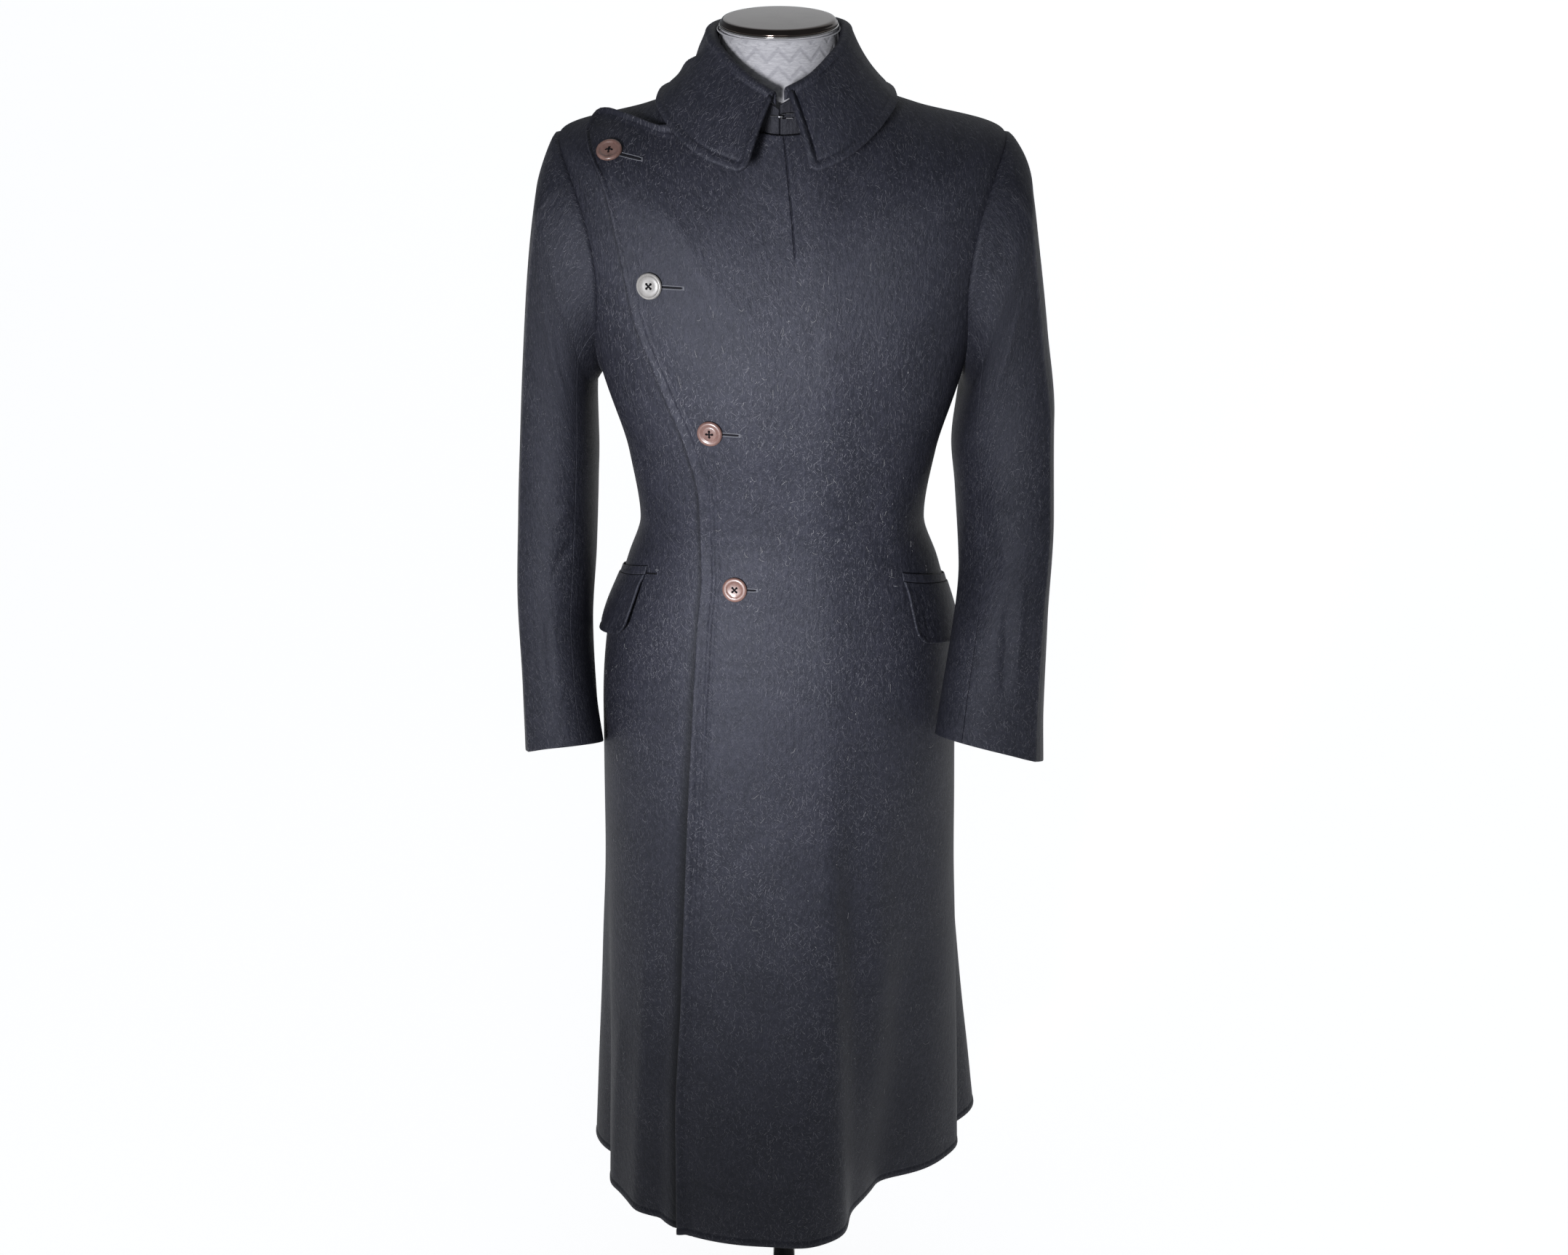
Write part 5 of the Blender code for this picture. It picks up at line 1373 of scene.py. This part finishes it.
# %% Sizes and finishes of the form
Skin = namedtuple("Skin", "name tape clearance")
FORM = [
    Skin("neck seam", 0, 6.0),
    Skin("collar edge", 28, 4.0),
    Skin("mid shoulder", 60, 1.0),
    Skin("shoulder tip", 128, 1.0),
    Skin("shoulder end", 150, 6.0),
    Skin("armhole", 200, 9.0),
    Skin("armpit", 298, 8.0),
    Skin("waist", 402, 6.0),
    Skin("hip bone", 458, 10.0),
    Skin("upper hip", 525, 19.0),
    Skin("torso end", 600, 34.0),
]
FORM_LOOSE = 0.004
NECK_CENTRE, NECK_HALF_WIDTH, NECK_FRONT, NECK_BACK = -0.005, 0.0560, 0.0585, 0.0535
NECK_TOP, NECK_LEAN = 1.3005, math.radians(9)
POLE_RADIUS, POLE_END, BASE_THICKNESS, HUB_RISE = 0.014, 0.0134, 0.012, 0.03
ZIGZAG_PERIOD, ZIGZAG_RISE, ZIGZAG_STEP, ZIGZAG_DEPTH = 0.0225, 0.0105, 0.0165, 0.0005
FORM_SIDES, NECK_RINGS, TORSO_RINGS = 300, 110, 110


def stretch_cover():
    """Pale knitted cover: bright crinkled threads, and painted shade that greys the pressed zigzag rows."""
    n = Nodes("form_cover", 0.82)
    n.shader.inputs["Sheen Weight"].default_value = 0.15
    n.shader.inputs["Sheen Roughness"].default_value = 0.5
    row = n.add("Attribute", 2, props={"attribute_name": "wear"})
    crinkle = n.noise(n.place((0.35, 1.6, 1)), 420.0, 3.0, 0.6, 0.8)
    knit = n.noise(n.place((1, 1.4, 1)), 1700.0, 2.0, 0.6)
    tone = n.between(n.math("ADD", crinkle, n.times(knit, 0.4)), 0.45, 0.95)
    colour = n.mix(tone, (0.20, 0.20, 0.215, 1), (0.33, 0.33, 0.348, 1))
    # Painted shade: the pressed rows are mixed towards grey.
    colour = n.mix(n.times(row, 0.40), colour, (0.145, 0.145, 0.163, 1))
    return n.finish(colour, n.bump(crinkle, 0.0006, 0.6, n.bump(knit, 0.0003, 0.5)))


def bright_metal(name, tint, low, high, scratch):
    """Plated metal: faint streaks and smudges vary the gloss; a fine bump gives scratches."""
    n = Nodes(name, 0.1, 1.0)
    where = n.place((1, 1, 1), "Object")
    # The smudge noise varies the gloss, and also darkens the colour in patches as painted dim reflection.
    smudge_and_reflection = n.between(n.noise(where, 40.0, 4.0, 0.6), 0.35, 0.7)
    streak = n.noise(n.place((6, 1, 1), "Object"), 700.0, 2.0)
    colour = n.mix(smudge_and_reflection, tint, tuple(0.82 * c for c in tint[:3]) + (1,))
    return n.finish(colour, n.bump(streak, scratch, 0.35), n.between(smudge_and_reflection, 0.0, 1.0, low, high))


def stand_paint():
    """Satin black paint over cast iron: a fine orange-peel bump and dusty, slightly worn tops."""
    n = Nodes("stand_paint", 0.42)
    where = n.place((1, 1, 1), "Object")
    dust = n.between(n.noise(where, 18.0, 5.0, 0.65), 0.45, 0.75)
    peel = n.noise(where, 900.0, 2.0)
    colour = n.mix(n.times(dust, 0.5), (0.020, 0.020, 0.023, 1), (0.085, 0.083, 0.080, 1))
    return n.finish(colour, n.bump(peel, 0.00012, 0.5), n.between(dust, 0.0, 1.0, 0.36, 0.58))


cover = stretch_cover()
chrome = bright_metal("chrome", (0.42, 0.41, 0.40, 1), 0.07, 0.16, 0.00001)
dark_chrome = bright_metal("chrome_cap", (0.068, 0.056, 0.050, 1), 0.06, 0.15, 0.00001)
steel = bright_metal("hook_steel", (0.16, 0.16, 0.17, 1), 0.16, 0.30, 0.00002)
paint = stand_paint()

# %% Make the form
def form_inside(angle, tape):
    """The form's clearance inside the coat, looser where the left front's own columns run."""
    clear = smooth(tape, column(FORM, "tape") * MM, column(FORM, "clearance") * MM)
    return clear + FORM_LOOSE * ease((angle + 30) / 20) * ease((130 - angle) / 30)


def make_torso():
    """Neck rings = torso ring * (1 - n) + cap oval * n, with n = 1 - (1 - share)^2.5 across and
    n = share upwards; below them the body's skin moved in. Both ends close in a point."""
    angle = np.linspace(-180, 180, FORM_SIDES, endpoint=False)
    turn = np.radians(angle)
    low = body(angle, 0.0, -form_inside(angle, 0.0))
    deep = np.where(np.cos(turn) > 0, NECK_FRONT, NECK_BACK)
    x, y = NECK_HALF_WIDTH * np.sin(turn) + NECK_CENTRE, -deep * np.cos(turn)
    top = np.stack([x, y, HEM_HEIGHT + NECK_TOP + y * math.tan(NECK_LEAN)], -1)
    share = np.linspace(1, 0, NECK_RINGS)[:, None, None]
    narrow = np.concatenate([1 - (1 - share) ** 2.5] * 2 + [share], -1)
    neck = low * (1 - narrow) + top * narrow
    side = np.linalg.norm(np.roll(neck, -1, 1) - neck, axis=-1)[30].mean()
    run = side * np.arange(FORM_SIDES)
    height = (neck[..., 2] - neck[:, :1, 2].min()) / math.cos(0.15)
    wave = np.abs((run / ZIGZAG_PERIOD) % 1 - 0.5) * 2 * ZIGZAG_RISE
    phase = ((height - wave) / ZIGZAG_STEP) % 1
    row = ease((0.17 - np.abs(phase - 0.5)) / 0.07)
    out = unit(neck[:, :, :2] - neck[:, :, :2].mean(1, keepdims=True))
    row = row * np.minimum(np.linspace(0, 1, NECK_RINGS), 0.05)[:, None] / 0.05
    neck[:, :, :2] -= out * (ZIGZAG_DEPTH * row)[..., None]
    tapes = np.linspace(0.004, FORM[-1].tape * MM, TORSO_RINGS)[:, None]
    rings = np.concatenate([neck, body(angle, tapes, -form_inside(angle, tapes))])
    index = tube(len(rings), FORM_SIDES)
    points = np.concatenate([rings.reshape(-1, 3), rings[[0, -1]].mean(1)])
    count = len(rings) * FORM_SIDES
    faces = squares(index)[:, ::-1].tolist() + fan(count, index[0, :-1], index[0, 1:])
    faces += fan(count + 1, index[-1, 1:], index[-1, :-1])
    down = np.concatenate([height.min() - height, np.repeat(tapes, FORM_SIDES, 1)])
    uv = np.stack(np.broadcast_arrays(run, down), -1).reshape(-1, 2)
    uv = np.concatenate([uv, [(0, 0), (0, 0)]])
    # The pressed rows go into the mesh's point value, for the cover's painted shade.
    tone = np.concatenate([row.ravel(), np.zeros(TORSO_RINGS * FORM_SIDES + 2)])
    piece = mesh_piece("form_torso_cover", points, faces, cover, uv, tone)
    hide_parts("form_torso")
    for way, name in ((-1, "right"), (1, "left")):
        seam = neck[:, np.argmin(np.abs(angle - way * 86))] + np.array([way * 0.0004, 0, 0])
        strands(f"form_seam_{name}", [seam[2:]], 0.0009, cover, 10)
    ring = top + unit(top - top.mean(0)) * (0.0008 + 0.0022 * np.abs(np.sin(turn[:, None])) ** 3)
    ring[:, 2] -= 0.0012 + 0.0015 * np.abs(np.sin(turn))
    strands("form_neck_piping", [np.concatenate([ring, ring[:2]])], 0.0007, cover, 8)
    return float(rings[-1][:, 2].mean())


torso_end = make_torso()
print("torso ends at", round(torso_end, 4))

# %% [markdown]
# ## The cap, the pole and the base
# All three are turned shapes. The cap is tilted with the neck; its rim has a fine step and a bead
# below it that catch the light. The pole is a polished tube and the base a painted disc.

# %% Make the cap and the stand
def place_turned(name, profile, sides, finish, node, tilt=0.0, spot=(0, 0, 0)):
    """A turned piece, tilted about X and moved to its spot, that replaces its solid."""
    points, faces = turned(profile, sides)
    c, s = math.cos(tilt), math.sin(tilt)
    points = points @ np.array([[1, 0, 0], [0, c, s], [0, -s, c]]) + np.array(spot)
    piece = mesh_piece(name, points, faces, finish)
    piece.data.set_sharp_from_angle(angle=math.radians(50))
    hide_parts(node)
    print(name, "top at", round(float(points[:, 2].max()), 4))


wide = NECK_HALF_WIDTH + 0.001
cap_profile = [(0, 0), (0.90, 0), (0.965, 0.0002), (0.985, 0.0007), (0.995, 0.0014), (1.0, 0.0024),
               (0.998, 0.0034), (0.99, 0.0041), (0.978, 0.0045), (0.972, 0.0049), (0.966, 0.0058),
               (0.95, 0.0067), (0.92, 0.0072), (0.90, 0.00735), (0.87, 0.0074), (0.45, 0.0077), (0, 0.008)]
middle = (NECK_BACK - NECK_FRONT) / 2
rise = middle * math.tan(NECK_LEAN)
cap_spot = (NECK_CENTRE, middle, HEM_HEIGHT + NECK_TOP + rise + SEAM / math.cos(NECK_LEAN))
place_turned("neck_cap", [(r * wide, z) for r, z in cap_profile], 128, dark_chrome, "form_neck_cap",
             NECK_LEAN, cap_spot)
turn = np.linspace(0, 2 * np.pi, 97)
lean = np.array([math.cos(NECK_LEAN), math.sin(NECK_LEAN)])
bead = np.concatenate([np.cos(turn)[:, None], np.sin(turn)[:, None] * lean], 1) * wide
bead = np.concatenate([bead, bead[1:2]]) + np.array(cap_spot) + UP * 0.0009
strands("neck_cap_bead", [bead], 0.00085, chrome, 10)
hub = BASE_THICKNESS + HUB_RISE + SEAM
pole_profile = [(0, hub), (POLE_END, hub), (POLE_RADIUS, hub + 0.0006), (POLE_RADIUS, torso_end - 0.0009),
                (POLE_END, torso_end - SEAM), (0, torso_end - SEAM)]
place_turned("pole", pole_profile, 48, chrome, "stand_pole")
base_profile = [(0, 0), (0.1385, 0), (0.1397, 0.0006), (0.140, 0.0016), (0.140, 0.0085), (0.1392, 0.0103),
                (0.1375, 0.0115), (0.1355, 0.012), (0.037, 0.012), (0.0345, 0.0124), (0.0325, 0.0136),
                (0.0312, 0.016), (0.0268, 0.039), (0.0262, 0.0410), (0.0250, 0.042), (0, 0.042)]
place_turned("base", base_profile, 128, paint, "stand_base")
for name in ("collar_hook", "collar_eye"):
    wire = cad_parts[name]
    wire.data.materials.clear()
    wire.data.materials.append(steel)

# %% [markdown]
# ## Floor, light and camera
# The floor is plain and pale, and glows a little behind the coat, so that the background is as
# white as the photograph's. The key light is a soft spot to the left of the camera, whose beam is
# squeezed sideways, so the chest is the brightest and the sides fall off. A weak sun from behind
# lifts the shoulders. The camera stands at head height and looks down at the coat by 21.9 degrees.

# %% Stage
scene = bpy.context.scene
CAMERA_AWAY, CAMERA_RISE, CAMERA_DOWN = 1.8, 1.40, 21.9


def lamp(name, kind, energy, spot, target, narrow=1.0, **props):
    """A lamp at a spot that points at a target; narrow squeezes its beam sideways."""
    data = bpy.data.lights.new(name, kind)
    data.energy = energy
    for key, value in props.items():
        setattr(data, key, value)
    thing = bpy.data.objects.new(name, data)
    thing.location, thing.scale = spot, (narrow, 1, 1)
    thing.rotation_euler = (Vector(target) - Vector(spot)).to_track_quat("-Z", "Y").to_euler()
    scene.collection.objects.link(thing)


def make_floor():
    """A wide pale floor with a faint, slow variation. It glows softly, less before the coat."""
    n = Nodes("floor", 0.7)
    n.shader.inputs["Emission Color"].default_value = (1, 1, 1, 1)
    back = n.parts("SeparateXYZ", n.place((1, 1, 1), "Object"))[1]
    n.put(n.between(back, -1.6, 0.05, 0.16, 0.74), n.shader.inputs["Emission Strength"])
    n.material.cycles.emission_sampling = "NONE"
    tone = n.noise(n.place((1, 1, 1), "Object"), 0.8, 2.0)
    n.finish(n.mix(tone, (0.93, 0.93, 0.93, 1), (0.95, 0.95, 0.95, 1)))
    mesh = bpy.data.meshes.new("floor")
    mesh.from_pydata([(-60, -60, 0), (60, -60, 0), (60, 60, 0), (-60, 60, 0)], [], [(0, 1, 2, 3)])
    mesh.materials.append(n.material)
    floor = bpy.data.objects.new("floor", mesh)
    scene.collection.objects.link(floor)


make_floor()
lamp("key", "SPOT", 560, (-0.60, -2.1, 1.34), (0.0, 0, 1.17), 0.39, shadow_soft_size=0.25, spot_blend=1.0,
     spot_size=math.radians(42), color=(0.97, 0.97, 1.0))
lamp("fill", "AREA", 5, (0.2, -2.6, 1.6), (0, 0, 1.0), size=1.2, shape="DISK")
lamp("back fill", "SUN", 0.40, (1.0, 3.5, 3.5), (0, 0, 0.9), angle=math.radians(60))
world = bpy.data.worlds.new("studio")
world.use_nodes = True
sky = world.node_tree.nodes["Background"]
sky.inputs["Color"].default_value = (0.88, 0.93, 1.0, 1)
sky.inputs["Strength"].default_value = 0.20
scene.world = world
scene.view_settings.view_transform = "Standard"

camera = bpy.data.objects.new("camera", bpy.data.cameras.new("camera"))
camera.location = (0, -CAMERA_AWAY, HEM_HEIGHT + CAMERA_RISE)
camera.rotation_euler = (math.radians(90 - CAMERA_DOWN), 0, 0)
camera.data.sensor_width = 36.0
camera.data.lens = 40.76
scene.collection.objects.link(camera)
scene.camera = camera
